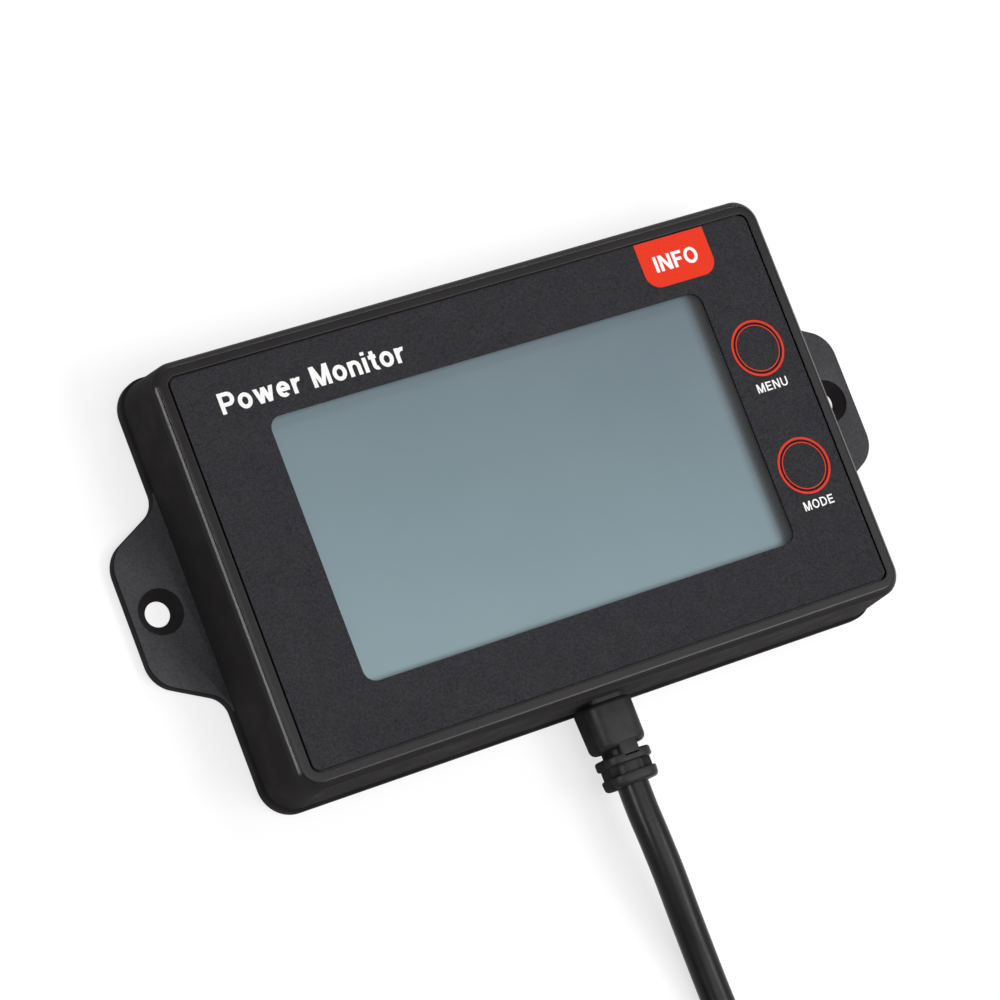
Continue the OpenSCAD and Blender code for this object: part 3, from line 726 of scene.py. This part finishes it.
def place_piece(
    name: str, mesh: Mesh, finish: Finish, body: str = ROOT, stands_for: Iterable[str] = ()
) -> bpy.types.Object:
    """Makes a piece of a mesh and ties it to the frame.

    Args:
        name: Name of the piece.
        mesh: Its mesh, already in place.
        finish: What it is made of.
        body: CAD body that it rides on.
        stands_for: CAD nodes that it replaces.

    Returns:
        The object.
    """
    piece = linked(name, mesh)
    mesh.name = name
    mesh.materials.clear()
    mesh.materials.append(finish.material())
    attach(piece, body)
    if stands_for:
        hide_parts(*stands_for)
    log.info("%-24s %6d faces on %s", name, len(mesh.polygons), body)
    return piece


def refined(node: str, name: str, finish: Finish, edge_mm: float, body: str = ROOT) -> bpy.types.Object:
    """Makes a softer-edged copy of a CAD node and lets it stand for the node.

    Args:
        node: The CAD node.
        name: Name of the piece.
        finish: What it is made of.
        edge_mm: Width of its broken edges.
        body: CAD body that it rides on.

    Returns:
        The object.
    """
    mesh = frame["nodes"][node].data.copy()
    merge(mesh, flatten=True)
    smoothed(mesh, CAD_CREASE)
    piece = place_piece(name, mesh, finish, body, [node])
    bevel = piece.modifiers.new("edges", "BEVEL")
    bevel.width = edge_mm * MM
    bevel.segments = 2
    bevel.limit_method = "ANGLE"
    bevel.angle_limit = math.radians(BROKEN)
    return piece


# ---------------------------------------------------------------- box


@dataclass
class Box:
    """The moulded front with its ears.

    Offsets are measured outwards from the centres of the four box corners, so one number is
    both a corner radius and a distance. The film's box in the frame gives those centres.

    Attributes:
        film_gap: Gap between the film and its recess.
        recess: Offset of the recess edge.
        band: Offset of the raised rim's outer side.
        top: Offset of the wall at its top.
        foot: Offset of the wall at its foot.
        flange: Offset of the foot flange.
        cavity: Offset of the inner wall.
        flange_t: Thickness of the flange and the ears.
        shoulder_r: Radius of the shoulder.
        slope: Slope of the shoulder's facet, degrees.
        roll: Width and height of the rim's rounded outer edge.
        band_up: Height of the rim above the shoulder.
        recess_t: Depth of the film's recess.
        plate_t: Thickness of the front plate.
        well_t: Depth of the key wells.
        groove: Width of the dark groove that the recess floor leaves round the film.
        seat: Gap round the window's pane.
        seat_r: Corner radius of the opening that seats the pane.
        ledge: Width of the ledge behind the pane.
        well_gap: Gap round a key's disc.
        bore_r: Radius of the bore behind a key.
    """

    film_gap: float = 0.15
    recess: float = 1.65
    band: float = 3.4
    top: float = 4.2
    foot: float = 5.0
    flange: float = 5.5
    cavity: float = 2.0
    flange_t: float = 2.2
    shoulder_r: float = 0.7
    slope: float = 40.0
    roll: Pair = (0.6, 0.26)
    band_up: float = 0.5
    recess_t: float = 0.3
    plate_t: float = 1.5
    well_t: float = 0.6
    groove: float = 0.42
    seat: float = 0.1
    seat_r: float = 3.1
    ledge: float = 0.6
    well_gap: float = 0.4
    bore_r: float = 2.25
    low: Array = field(init=False)
    high: Array = field(init=False)
    corner: Array = field(init=False)

    def __post_init__(self) -> None:
        """Reads the box and the corner centres from the frame."""
        self.low, self.high = node_box("front_housing")
        film = node_box("face_film")[1]
        self.corner = film[:2] + self.film_gap - self.recess

    @property
    def face(self) -> float:
        """Level of the rim."""
        return float(self.high[2])

    @property
    def plate_top(self) -> float:
        """Level of the recess floor, on which the film lies."""
        return self.face - self.recess_t

    def around(self, offset: float, height: float) -> Array:
        """Returns the loop at one offset and height."""
        return lift(rounded_loop(*(self.corner + offset), offset, 16, 10), height)

    def section(self) -> Array:
        """Returns the wall's closed section as (offset, height) rows, from the foot outwards."""
        shelf, under = self.face - self.band_up, self.plate_top - self.plate_t
        edge, lip, crest, nick, draft = 0.2, 0.7 * (self.flange - self.foot), 0.12, 0.05, 0.02
        above, below = 0.4, 0.3
        roll = arc((0, 0), 1.0, 0, 90, 9) * self.roll + (self.band - self.roll[0], self.face - self.roll[1])
        return np.vstack([
            [[self.cavity, 0.0], [self.flange - 2 * edge, 0.0]],
            arc((self.flange - edge, edge), edge, 270, 360, 4),
            arc((self.flange - lip, self.flange_t - lip), lip, 0, 90, 6),
            arc((self.foot + crest, self.flange_t + crest), crest, 270, 180, 3),
            [[self.foot - draft, self.flange_t + above], [self.top + draft, shelf - self.shoulder_r - below]],
            self._shoulder(shelf),
            [[self.band + nick, shelf], [self.band, shelf + nick]],
            roll,
            [[self.recess + 2 * crest, self.face]],
            arc((self.recess + crest, self.face - crest), crest, 90, 180, 4),
            [[self.recess, self.plate_top], [self.recess, under], [self.cavity, under]],
        ])

    def _shoulder(self, shelf: float) -> Array:
        """Returns the shoulder: a quarter round whose middle is flattened to a sloping facet."""
        inner, bevel, drop, sag = 0.1, 0.06, 0.04, 0.03
        run, tilt = self.top - self.band - inner, math.radians(self.slope)
        start = np.array([self.top - bevel, shelf - run * math.tan(tilt) - drop])
        end = np.array([self.top - run, shelf - sag])
        share = np.linspace(0, 1, 6)[:, None]
        bulge = sag * np.sin(np.pi * share)
        facet = start + (end - start) * share + bulge * (math.sin(tilt), 1.0)
        return np.vstack([[[self.top, start[1] - inner]], facet])

    def build(self) -> None:
        """Builds the wall, the face plate and both ears."""
        loops = np.stack([self.around(r, z) for r, z in self.section()])
        place_piece("box_wall", lofted(loops, ring=True), HOUSING, stands_for=["front_housing"])
        self._plate()
        for side, name in ((-1, "left_ear"), (1, "right_ear")):
            Ear(self, side).build(name)

    def _plate(self) -> None:
        """Builds the front plate in two layers, with the window, the key wells and their bores."""
        outline, raised = (
            rounded_loop(*(self.corner + r), r) for r in (self.recess, self.recess - self.groove)
        )
        pane = node_box("display_window")[1][:2]
        hole = rounded_loop(*(pane + self.seat), self.seat_r)
        throat = rounded_loop(*(pane - self.ledge), self.seat_r - self.ledge - self.seat)
        keys = [key_disc(name) for name in KEYS]
        wells = [arc(centre, radius + self.well_gap, 0, 350, 36) for centre, radius in keys]
        bores = [arc(centre, self.bore_r, 0, 350, 36) for centre, _ in keys]
        floor = self.plate_top - self.well_t
        upper = plate([raised, hole, *wells], floor, self.plate_top)
        lower = plate([outline, throat, *bores], self.plate_top - self.plate_t, floor)
        place_piece("face_plate_upper", upper, HOUSING)
        place_piece("face_plate_lower", lower, HOUSING)


@dataclass
class Ear:
    """One mounting ear: a plate with rounded edges and a countersunk ring let into it.

    Attributes:
        box: The box that carries the ear.
        side: 1 for the ear on the right, -1 for the one on the left.
        corner_r: Radius of the outer corners.
        flat: Length of the straight outer edge between the corners.
        slope: Slope of the upper and lower edges, degrees.
        root_r: Radius of the hollow corners at the root.
        edge_r: Radius of the edges.
        sink_r: Radius of the countersink under the top edge's rounding.
        proud: Height by which the ear clears the flange that it crosses.
        sunk: How far the ear's root reaches into the box wall.
        nib: Width of the small steps of the countersunk ring.
    """

    box: Box
    side: int
    corner_r: float = 5.5
    flat: float = 15.0
    slope: float = 28.0
    root_r: float = 4.0
    edge_r: float = 0.22
    sink_r: float = 3.75
    proud: float = 0.02
    sunk: float = 1.2
    nib: float = 0.1

    def outline(self) -> Array:
        """Returns the outline: outer edge, corners, slopes and hollow roots, mirrored on the left."""
        reach = float(self.box.high[0])
        root = float(self.box.corner[0] + self.box.flange)
        turn = math.radians(self.slope)
        corner = (reach - self.corner_r, self.flat / 2)
        touch = np.array(corner) + self.corner_r * np.array([math.sin(turn), math.cos(turn)])
        root_y = touch[1] + (touch[0] - root) * math.tan(turn)
        hollow = (root + self.root_r, root_y + self.root_r * (1 - math.sin(turn)) / math.cos(turn))
        upper = np.vstack([
            arc(corner, self.corner_r, 0, 90 - self.slope, 14),
            arc(hollow, self.root_r, 270 - self.slope, 180, 12),
            [[root - self.sunk, hollow[1]]],
        ])
        loop = np.vstack([upper, upper[::-1] * (1, -1)])
        return (loop * (self.side, 1))[::self.side]

    def mesh(self) -> Mesh:
        """Returns the ear: the plate, and the ring as a section turned round the hole's axis."""
        holes = next(m for m in frame["record"]["mounts"] if m["name"] == "ear_holes")
        bore = holes["dims"]["hole_r_mm"]
        axis = (self.side * holes["dims"]["spacing_x_mm"] / 2, 0.0)
        top = self.box.flange_t + self.proud
        opening = arc(axis, self.sink_r, 0, 355, 72)
        flat = plate([self.outline(), opening], 0.0, top, self.edge_r)
        mouth, nib = top - self.edge_r, self.nib
        straight = mouth - (self.sink_r - bore)
        section = np.array([
            [bore, nib], [bore, straight], [self.sink_r, mouth], [self.sink_r + nib, mouth - nib],
            [self.sink_r + nib, nib], [self.sink_r - nib, 0.0], [bore + nib, 0.0],
        ])
        return joined([flat, turned(section, axis, ring=True)])

    def build(self, name: str) -> None:
        """Builds the ear, textured on the faces that look up and smooth elsewhere; those upward faces are
        also painted lighter than the housing, as painted light.
        """
        upward = 0.95
        ear = place_piece(name, self.mesh(), EAR_TOP_PAINTED_LIGHT)
        ear.data.materials.append(HOUSING.material())
        for face in ear.data.polygons:
            face.material_index = 0 if face.normal.z > upward else 1


# ---------------------------------------------------------------- face


@dataclass
class Face:
    """The printed film, the window behind it and the two keys.

    Attributes:
        box: The box whose recess holds the film.
        window_r: Corner radius of the window.
        pane_over: How far the pane reaches past the window.
        ring_outer: Inner and outer radius of the ring printed round a key.
        ring_inner: Inner and outer radius of the ring printed on a key.
        key_gap: Gap round a key's disc.
        trim: How far the film stays inside its CAD edge.
        edge_r: Radius of the film's edges and, a little larger, of the discs' edges.
        title: Inset from the left, drop from the top, width and capital height of the title.
        badge: Insets of the badge's sides from the right, and of its lower and upper edge from the top.
        word: The badge's word: inset from its left side, then as for the title.
        labels: Words and width of the key labels.
        label_cap: Height of the key labels' capitals.
        label_drop: Distance of a label's middle below its key's centre.
        ink: Thickness of the ink.
    """

    box: Box
    window_r: float = 2.2
    pane_over: float = 0.9
    ring_outer: Pair = (4.61, 4.98)
    ring_inner: Pair = (3.98, 4.15)
    key_gap: float = 0.1
    trim: float = 0.18
    edge_r: Pair = (0.05, 0.06)
    title: tuple[float, ...] = (7.0, 8.15, 33.9, 3.54)
    badge: tuple[float, ...] = (22.7, 8.9, 8.35, 0.12)
    word: tuple[float, ...] = (2.5, 5.75, 8.6, 2.8)
    labels: tuple[tuple[str, float], ...] = (("MENU", 6.2), ("MODE", 6.0))
    label_cap: float = 1.6
    label_drop: float = 6.75
    ink: float = 0.02

    def build(self) -> None:
        """Builds the film, the keys and everything printed on them."""
        low, high = node_box("face_film")
        pane = node_box("display_window")[1]
        window = rounded_loop(*(pane[:2] - self.pane_over), self.window_r)
        outline = rounded_loop(*(high[:2] - self.trim), self.box.recess - self.box.film_gap - self.trim)
        holes = [arc(centre, radius + self.key_gap, 0, 355, 72) for centre, radius in map(key_disc, KEYS)]
        film = plate([outline, window, *holes], low[2], high[2], self.edge_r[0])
        place_piece("printed_film", film, FILM, stands_for=["face_film"])
        for name in KEYS:
            self._key(name, high[2])
        self._prints(low, high)

    def _key(self, name: str, level: float) -> None:
        """Builds one moving disc with its thin ring, and the bold ring on the film round it."""
        centre, radius = key_disc(name)
        low = node_box(f"{name}_key_disc")[0][2]
        edge, pole = self.edge_r[1], 0.001
        profile = np.vstack([
            [[pole, low], [radius, low]], arc((radius - edge, level - edge), edge, 0, 90, 4),
            [[0.5 * radius, level], [pole, level]],
        ])
        disc = turned(profile, centre, 72)
        place_piece(f"{name}_key", disc, FILM, f"{name}_key", [f"{name}_key_disc"])
        top = level + self.ink
        for kind, radii, body in (("thin", self.ring_inner, f"{name}_key"), ("bold", self.ring_outer, ROOT)):
            inner, outer = radii
            section = np.array([[inner, level], [outer, level], [outer, top], [inner, top]])
            ring = turned(section, centre, ring=True)
            place_piece(f"{name}_{kind}_ring", ring, RED_INK, body)

    def _prints(self, low: Array, high: Array) -> None:
        """Prints the title, the badge and the key labels."""
        right, top, level = high[0], high[1], high[2] + self.ink
        large, small = Lettering(ink=self.ink), Lettering(stroke=0.15, gap=0.14, ink=self.ink)
        inset, drop, *size = self.title
        title = large.mesh("Power Monitor", low[0] + inset, top - drop, *size, level)
        place_piece("title_print", title, WHITE_INK)
        far, near, lower, upper = self.badge
        badge = self._badge((right - far, right - near), (top - lower, top - upper))
        place_piece("badge_print", plate([badge], high[2], level), RED_INK)
        inset, drop, *size = self.word
        word = large.mesh("INFO", right - far + inset, top - drop, *size, level + self.ink)
        place_piece("badge_word_print", word, WHITE_INK)
        for name, (text, width) in zip(KEYS, self.labels):
            x, y = key_disc(name)[0]
            base = y - self.label_drop - self.label_cap / 2
            label = small.mesh(text, x - width / 2, base, width, self.label_cap, level)
            place_piece(name + "_label_print", label, WHITE_INK)

    @staticmethod
    def _badge(x: Pair, y: Pair, radius: float = 2.7) -> Array:
        """Returns the badge's outline: square upper corners and round lower ones."""
        return np.vstack([
            [[x[1], y[1]], [x[0], y[1]]],
            arc((x[0] + radius, y[0] + radius), radius, 180, 270, 12),
            arc((x[1] - radius, y[0] + radius), radius, 270, 360, 12),
        ])


# ---------------------------------------------------------------- cable


@dataclass
class StrainRelief:
    """The moulded strain relief: a tapered block, two rings and the webs between them.

    Attributes:
        width: Width of the block.
        block: Length of the block.
        gaps: Lengths of the two gaps.
        rings: Lengths of the two rings.
        web: Width of the webs.
        corner_r: Corner radius of the block's and the rings' sections.
    """

    width: float = 9.2
    block: float = 8.0
    gaps: Pair = (1.0, 1.6)
    rings: Pair = (1.7, 2.0)
    web: float = 3.4
    corner_r: float = 2.9

    def build(self, axis_z: float) -> bpy.types.Object:
        """Builds the relief as one object, given the height of the cable's axis."""
        low, high = node_box("strain_relief")
        ends = [low[1] + sum(self.rings) + sum(self.gaps) + self.block]
        for step in (self.block, self.gaps[0], self.rings[0], self.gaps[1], self.rings[1]):
            ends.append(ends[-1] - step)
        wide, tall, foot = self.width - 0.2, 7.8, high[1] - 1.6
        block = (self.width, 8.4, axis_z - 0.4), (self.width - 0.1, 7.9, axis_z - 0.05)
        ring, last, core = (wide, tall, axis_z), (wide - 0.2, tall - 0.2, axis_z), (6.0, 6.0, axis_z)
        upright, across = (self.web, tall, axis_z), (wide - 0.8, self.web, axis_z)
        neck, collar = (6.3, 8.2, axis_z - 1.1), (10.4, 7.6, axis_z)
        sunk, fine = 0.8, (0.1, 0.1)
        slabs = [
            (ends[0], ends[1], *block, (0.8, 1.1), self.corner_r),
            (ends[2], ends[3], ring, ring, (0.45, 0.4), self.corner_r),
            (ends[4], ends[5], ring, last, (0.4, 0.7), self.corner_r),
            (ends[1] + sunk, ends[5] + 0.3, core, core, fine, 2.99),
            (ends[1] + sunk, ends[2] - sunk, upright, upright, fine, 0.4),
            (ends[3] + sunk, ends[4] - sunk, across, across, fine, 0.5),
            (foot, ends[0] - 0.9, neck, neck, fine, 1.2),
            (high[1], foot, collar, collar, (0.15, 0.15), 1.0),
        ]
        mesh = joined([self._slab(*slab) for slab in slabs])
        return place_piece("strain_relief_moulding", mesh, BOOT, stands_for=["strain_relief"])

    @staticmethod
    def _slab(start: float, end: float, first: Triple, last: Triple, rounds: Pair, corner: float) -> Mesh:
        """Returns a slab across Y whose section drifts from first to last, with rounded ends.

        Args:
            start: Where it starts along Y.
            end: Where it ends along Y.
            first: Width, height and middle height at the start.
            last: The same at the end.
            rounds: Radius of the rounding at each end.
            corner: Corner radius of the section.

        Returns:
            The closed mesh.
        """
        way = -1.0 if end < start else 1.0
        angles = np.radians(np.linspace(0, 90, 5))
        stops = [(start + way * rounds[0] * (1 - math.cos(a)), rounds[0] * (1 - math.sin(a))) for a in angles]
        stops += [(end - way * rounds[1] * (1 - math.cos(a)), rounds[1] * (1 - math.sin(a)))
                  for a in angles[::-1]]
        loops = []
        for y, inset in stops:
            share = (y - start) / (end - start)
            w, h, z = (a + (b - a) * share for a, b in zip(first, last))
            radius = max(0.05, min(corner, w / 2, h / 2) - inset)
            flat = rounded_loop(w / 2 - inset, h / 2 - inset, min(radius, w / 2 - inset - 1e-3), 10, 3)
            loops.append(stand(flat, y, z))
        return lofted(np.stack(loops), angle=CREASE)


@dataclass
class Cable:
    """The cable: its visible lead, the stored coil and the tail with its plug.

    The route repeats the CAD source's points. The coil is a spiral inwards on the surface, a
    short climb, and a spiral outwards on top of it.

    Attributes:
        diameter: Diameter of the jacket.
        centre: Centre of the coil.
        outer: Radius of the outermost turn.
        levels: Heights of the two layers.
        inward: Turns of the lower layer.
        climb: Turns of the climb.
        outward: Turns of the upper layer.
        sides: Points round the jacket.
        steps: Points along one turn of the coil.
        spacing: Spacing of the points along the lead and the tail.
    """

    diameter: float = 5.4
    centre: Pair = (-38.0, -132.0)
    outer: float = 41.0
    levels: Pair = (3.3, 8.7)
    inward: float = 3.75
    climb: float = 0.25
    outward: float = 3.5
    sides: int = 24
    steps: int = 60
    spacing: Pair = (1.2, 1.5)

    def lead(self) -> Array:
        """Returns the stretch from the strain relief to the coil."""
        exit_y = float(node_box("strain_relief")[0][1])
        route = [
            (0, exit_y, CORD_AXIS), (0, -56, CORD_AXIS), (0.3, -61, 7.4), (0.8, -67, 6.7), (1.4, -74, 5.4),
            (2.1, -81, 4), (2.6, -88, 3.1), (3, -95, 2.7), (3, -104, 2.7), (3, -113, 2.9),
            (3, -122, 3.2), (3, -132, 3.3),
        ]
        return smooth_path(np.array(route, float), self.spacing[0])

    def tail(self) -> Array:
        """Returns the stretch from the coil to the plug."""
        route = [
            (-79, -132, 8.7), (-79, -124, 8.7), (-79, -118, 8.5), (-79, -111, 7.2),
            (-79, -105, 5.4), (-79, -99, 4.3), (-79, -94, 4),
        ]
        return smooth_path(np.array(route, float), self.spacing[1])

    def coil(self) -> Array:
        """Returns the coil's turns: radius and height are straight lines in the turns wound."""
        total = self.inward + self.climb + self.outward
        wound = np.linspace(0, total, int(total * self.steps))
        inner = self.outer - self.inward * self.diameter
        marks = [0, self.inward, self.inward + self.climb, total]
        radius = np.interp(wound, marks, [self.outer, inner, inner, self.outer])
        height = np.interp(wound, marks, [self.levels[0]] * 2 + [self.levels[1]] * 2)
        angle = -2 * np.pi * wound
        return np.c_[self.centre[0] + radius * np.cos(angle), self.centre[1] + radius * np.sin(angle), height]

    def build(self, relief: bpy.types.Object, on_cord: Sequence[bpy.types.Object]) -> None:
        """Args:
            relief: The strain relief that it leaves; not used.
            on_cord: The plug's pieces and the strap; not used.
        """
        path = np.vstack([self.lead(), self.coil()[1:], self.tail()[1:]])
        mesh = lofted(tube_loops(path, self.diameter / 2, self.sides), angle=60)
        jacket = place_piece("cable_jacket", mesh, JACKET, stands_for=["cord_lead", "cord_coil", "cord_tail"])
        length = float(np.linalg.norm(np.diff(path, axis=0), axis=1).sum()) * MM
        log.info("cable length %.3f m", length)


def strap() -> bpy.types.Object:
    """Builds the strap round the coil: a band carried round a rounded rectangle that stands up."""
    low, high = node_box("cord_tie")
    middle, half = (low + high) / 2, (high - low) / 2
    thick, edge, corner = 0.6, 0.15, 2.4
    side = [(thick, half[0]), (edge, half[0]), (0.0, half[0] - edge)]
    loops = []
    for inset, x in [(inset, -x) for inset, x in side] + side[::-1]:
        flat = rounded_loop(half[1] - inset, half[2] - inset, corner - inset, 10, 6)
        loops.append(middle + np.c_[np.full(len(flat), x), flat])
    mesh = lofted(np.stack(loops), ring=True)
    return place_piece("coil_strap", mesh, STRAP, stands_for=["cord_tie"])


# ---------------------------------------------------------------- studio


@dataclass(frozen=True)
class SoftBox:
    """One soft lamp that looks at the middle of the object.

    Attributes:
        name: Name of the lamp.
        place: Where it stands, metres.
        size: Width and height, metres.
        power: Power in watts.
        sheen_only: Whether the lamp shows only as a reflection.
    """

    name: str
    place: Triple
    size: Pair
    power: float
    sheen_only: bool = False

    def build(self) -> None:
        """Hangs the lamp."""
        lamp = bpy.data.lights.new(self.name, "AREA")
        lamp.shape = "RECTANGLE"
        lamp.size, lamp.size_y = self.size
        lamp.energy = self.power
        holder = linked(self.name, lamp)
        holder.matrix_world = look(np.array(self.place), np.zeros(3), 0.0)
        holder.visible_diffuse = not self.sheen_only


@dataclass(frozen=True)
class Camera:
    """A long lens that looks down on the face from its lower left.

    Attributes:
        aim: Point on the optical axis, millimetres.
        distance: Distance from that point, millimetres.
        azimuth: Degrees round the object; 0 looks along +Y.
        elevation: Degrees above the horizon.
        roll: Degrees by which the camera is turned about its axis.
        lens: Focal length in millimetres on a 36 mm sensor.
    """

    aim: Triple = (-6.26, -0.6, 12.0)
    distance: float = 662.0
    azimuth: float = -74.83
    elevation: float = 62.35
    roll: float = 55.48
    lens: float = 145.47

    def build(self) -> None:
        """Sets up the scene's camera."""
        turn, rise = math.radians(self.azimuth), math.radians(self.elevation)
        back = np.array([math.sin(turn) * math.cos(rise), -math.cos(turn) * math.cos(rise), math.sin(rise)])
        aim = np.array(self.aim) * MM
        data = bpy.data.cameras.new("camera")
        data.lens = self.lens
        data.sensor_width = 36.0
        data.clip_start, data.clip_end = 0.05, 20.0
        camera = linked("camera", data)
        camera.matrix_world = look(aim + back * self.distance * MM, aim, self.roll)
        bpy.context.scene.camera = camera


def look(place: Array, aim: Array, roll: float) -> Matrix:
    """Returns the pose of a lamp or camera at place that looks at aim, rolled by some degrees."""
    ahead = (aim - place) / np.linalg.norm(aim - place)
    up = np.array([0.0, 0.0, 1.0]) if abs(ahead[2]) < 0.999 else np.array([0.0, 1.0, 0.0])
    side = np.cross(ahead, up)
    side /= np.linalg.norm(side)
    rise = np.cross(side, ahead)
    turn = math.radians(roll)
    right = math.cos(turn) * side + math.sin(turn) * rise
    top = np.cross(right, ahead)
    pose = np.eye(4)
    pose[:3] = np.c_[right, top, -ahead, place]
    return Matrix(pose.tolist())


@dataclass
class Studio:
    """Floor, sky and lamps.

    Attributes:
        floor_colour: Colour of the floor.
        sky: Strength of the plain sky.
        fill: Share of plain white that thins the floor's shadows.
        white: Sum of the floor's fill and its lit share, a little over 1 so that it reads white.
        floor_mm: Half the floor's width, and its height under the object.
        lamps: The soft lamps.
    """

    floor_colour: Colour = (0.9, 0.9, 0.9)
    sky: float = 0.16
    fill: float = 0.7
    white: float = 1.05
    floor_mm: Pair = (3000.0, -0.05)
    lamps: tuple[SoftBox, ...] = (
        SoftBox("top_softbox", (-0.05, -0.15, 1.0), (0.7, 0.7), 5.0),
        SoftBox("over_softbox", (0.6, -0.05, 0.88), (0.5, 0.5), 1.8),
        SoftBox("front_strip", (0.45, -0.37, 0.81), (0.5, 0.2), 3.6),
        SoftBox("left_strip", (-0.8, 0.12, 0.6), (0.6, 0.14), 6.0, True),
        SoftBox("back_strip", (0.44, 0.66, 0.62), (0.5, 0.08), 1.8),
    )

    def build(self) -> None:
        """Builds the studio."""
        bpy.context.scene.view_settings.view_transform = "Standard"
        for lamp in self.lamps:
            lamp.build()
        self._sky()
        self._floor()

    def _sky(self) -> None:
        """Lights the scene evenly and shows white to the camera and in metal and glass."""
        graph = Graph(bpy.data.worlds.new("sky"))
        bpy.context.scene.world = graph.owner
        strength = graph.spread(graph.shown(), self.sky, 1.0, (0.0, 1.0))
        sky = graph.add("ShaderNodeBackground", {"Color": (1.0, 1.0, 1.0, 1.0), "Strength": strength})
        graph.output(sky.outputs["Background"], "ShaderNodeOutputWorld")

    def _floor(self) -> None:
        """Lays a wide pale floor that hides nothing from below."""
        half, level = self.floor_mm
        corners = np.array([[-half, -half], [half, -half], [half, half], [-half, half]])
        mesh = bpy.data.meshes.new("floor")
        mesh.from_pydata((lift(corners, level) * MM).tolist(), [], [[0, 1, 2, 3]])
        graph = Graph(bpy.data.materials.new("floor"))
        rest = (*(c * (self.white - self.fill) for c in self.floor_colour), 1.0)
        matt = graph.add("ShaderNodeBsdfDiffuse", {"Color": (*self.floor_colour, 1.0)}).outputs["BSDF"]
        thin = graph.add("ShaderNodeBsdfDiffuse", {"Color": rest}).outputs["BSDF"]
        glow = graph.add("ShaderNodeEmission", {"Strength": self.fill}).outputs["Emission"]
        pale = graph.add("ShaderNodeAddShader", {0: thin, 1: glow}).outputs["Shader"]
        top = graph.either(graph.shown(), matt, pale)
        under = graph.add("ShaderNodeNewGeometry").outputs["Backfacing"]
        clear = graph.add("ShaderNodeBsdfTransparent").outputs["BSDF"]
        graph.output(graph.either(under, top, clear))
        mesh.materials.append(graph.owner)
        linked("floor", mesh)


def dress_inside() -> None:
    """Gives each CAD node that stays its finish."""
    polariser = DISPLAY.material()
    coats = {node: finish.material() for node, finish in INSIDE.items()}
    coats |= {"front_polariser": polariser, "front_glass": polariser, "display_window": PANE.material()}
    for node, coat in coats.items():
        data = frame["nodes"][node].data
        data.materials.clear()
        data.materials.append(coat)
    log.info("%d CAD nodes dressed", len(coats))


def main() -> None:
    """Builds the meter round its frame, in order."""
    logging.basicConfig(level=logging.INFO, format="%(name)s: %(message)s")
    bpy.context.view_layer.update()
    Camera().build()
    relief = StrainRelief().build(CORD_AXIS)
    on_cord = [
        strap(),
        refined("plug_body", "plug_shell", CLEAR_PLUG, 0.2),
        refined("plug_contacts", "plug_blades", GOLD, 0.05),
        refined("plug_latch", "plug_tongue", CLEAR_PLUG, 0.15, "latch"),
    ]
    Cable().build(relief, on_cord)
    box = Box()
    box.build()
    Face(box).build()
    refined("rear_cover", "rear_cover_moulding", HOUSING, 0.25)
    refined("cover_screws", "cover_screw_set", STEEL, 0.08)
    dress_inside()
    Studio().build()


if __name__ == "__main__":
    main()
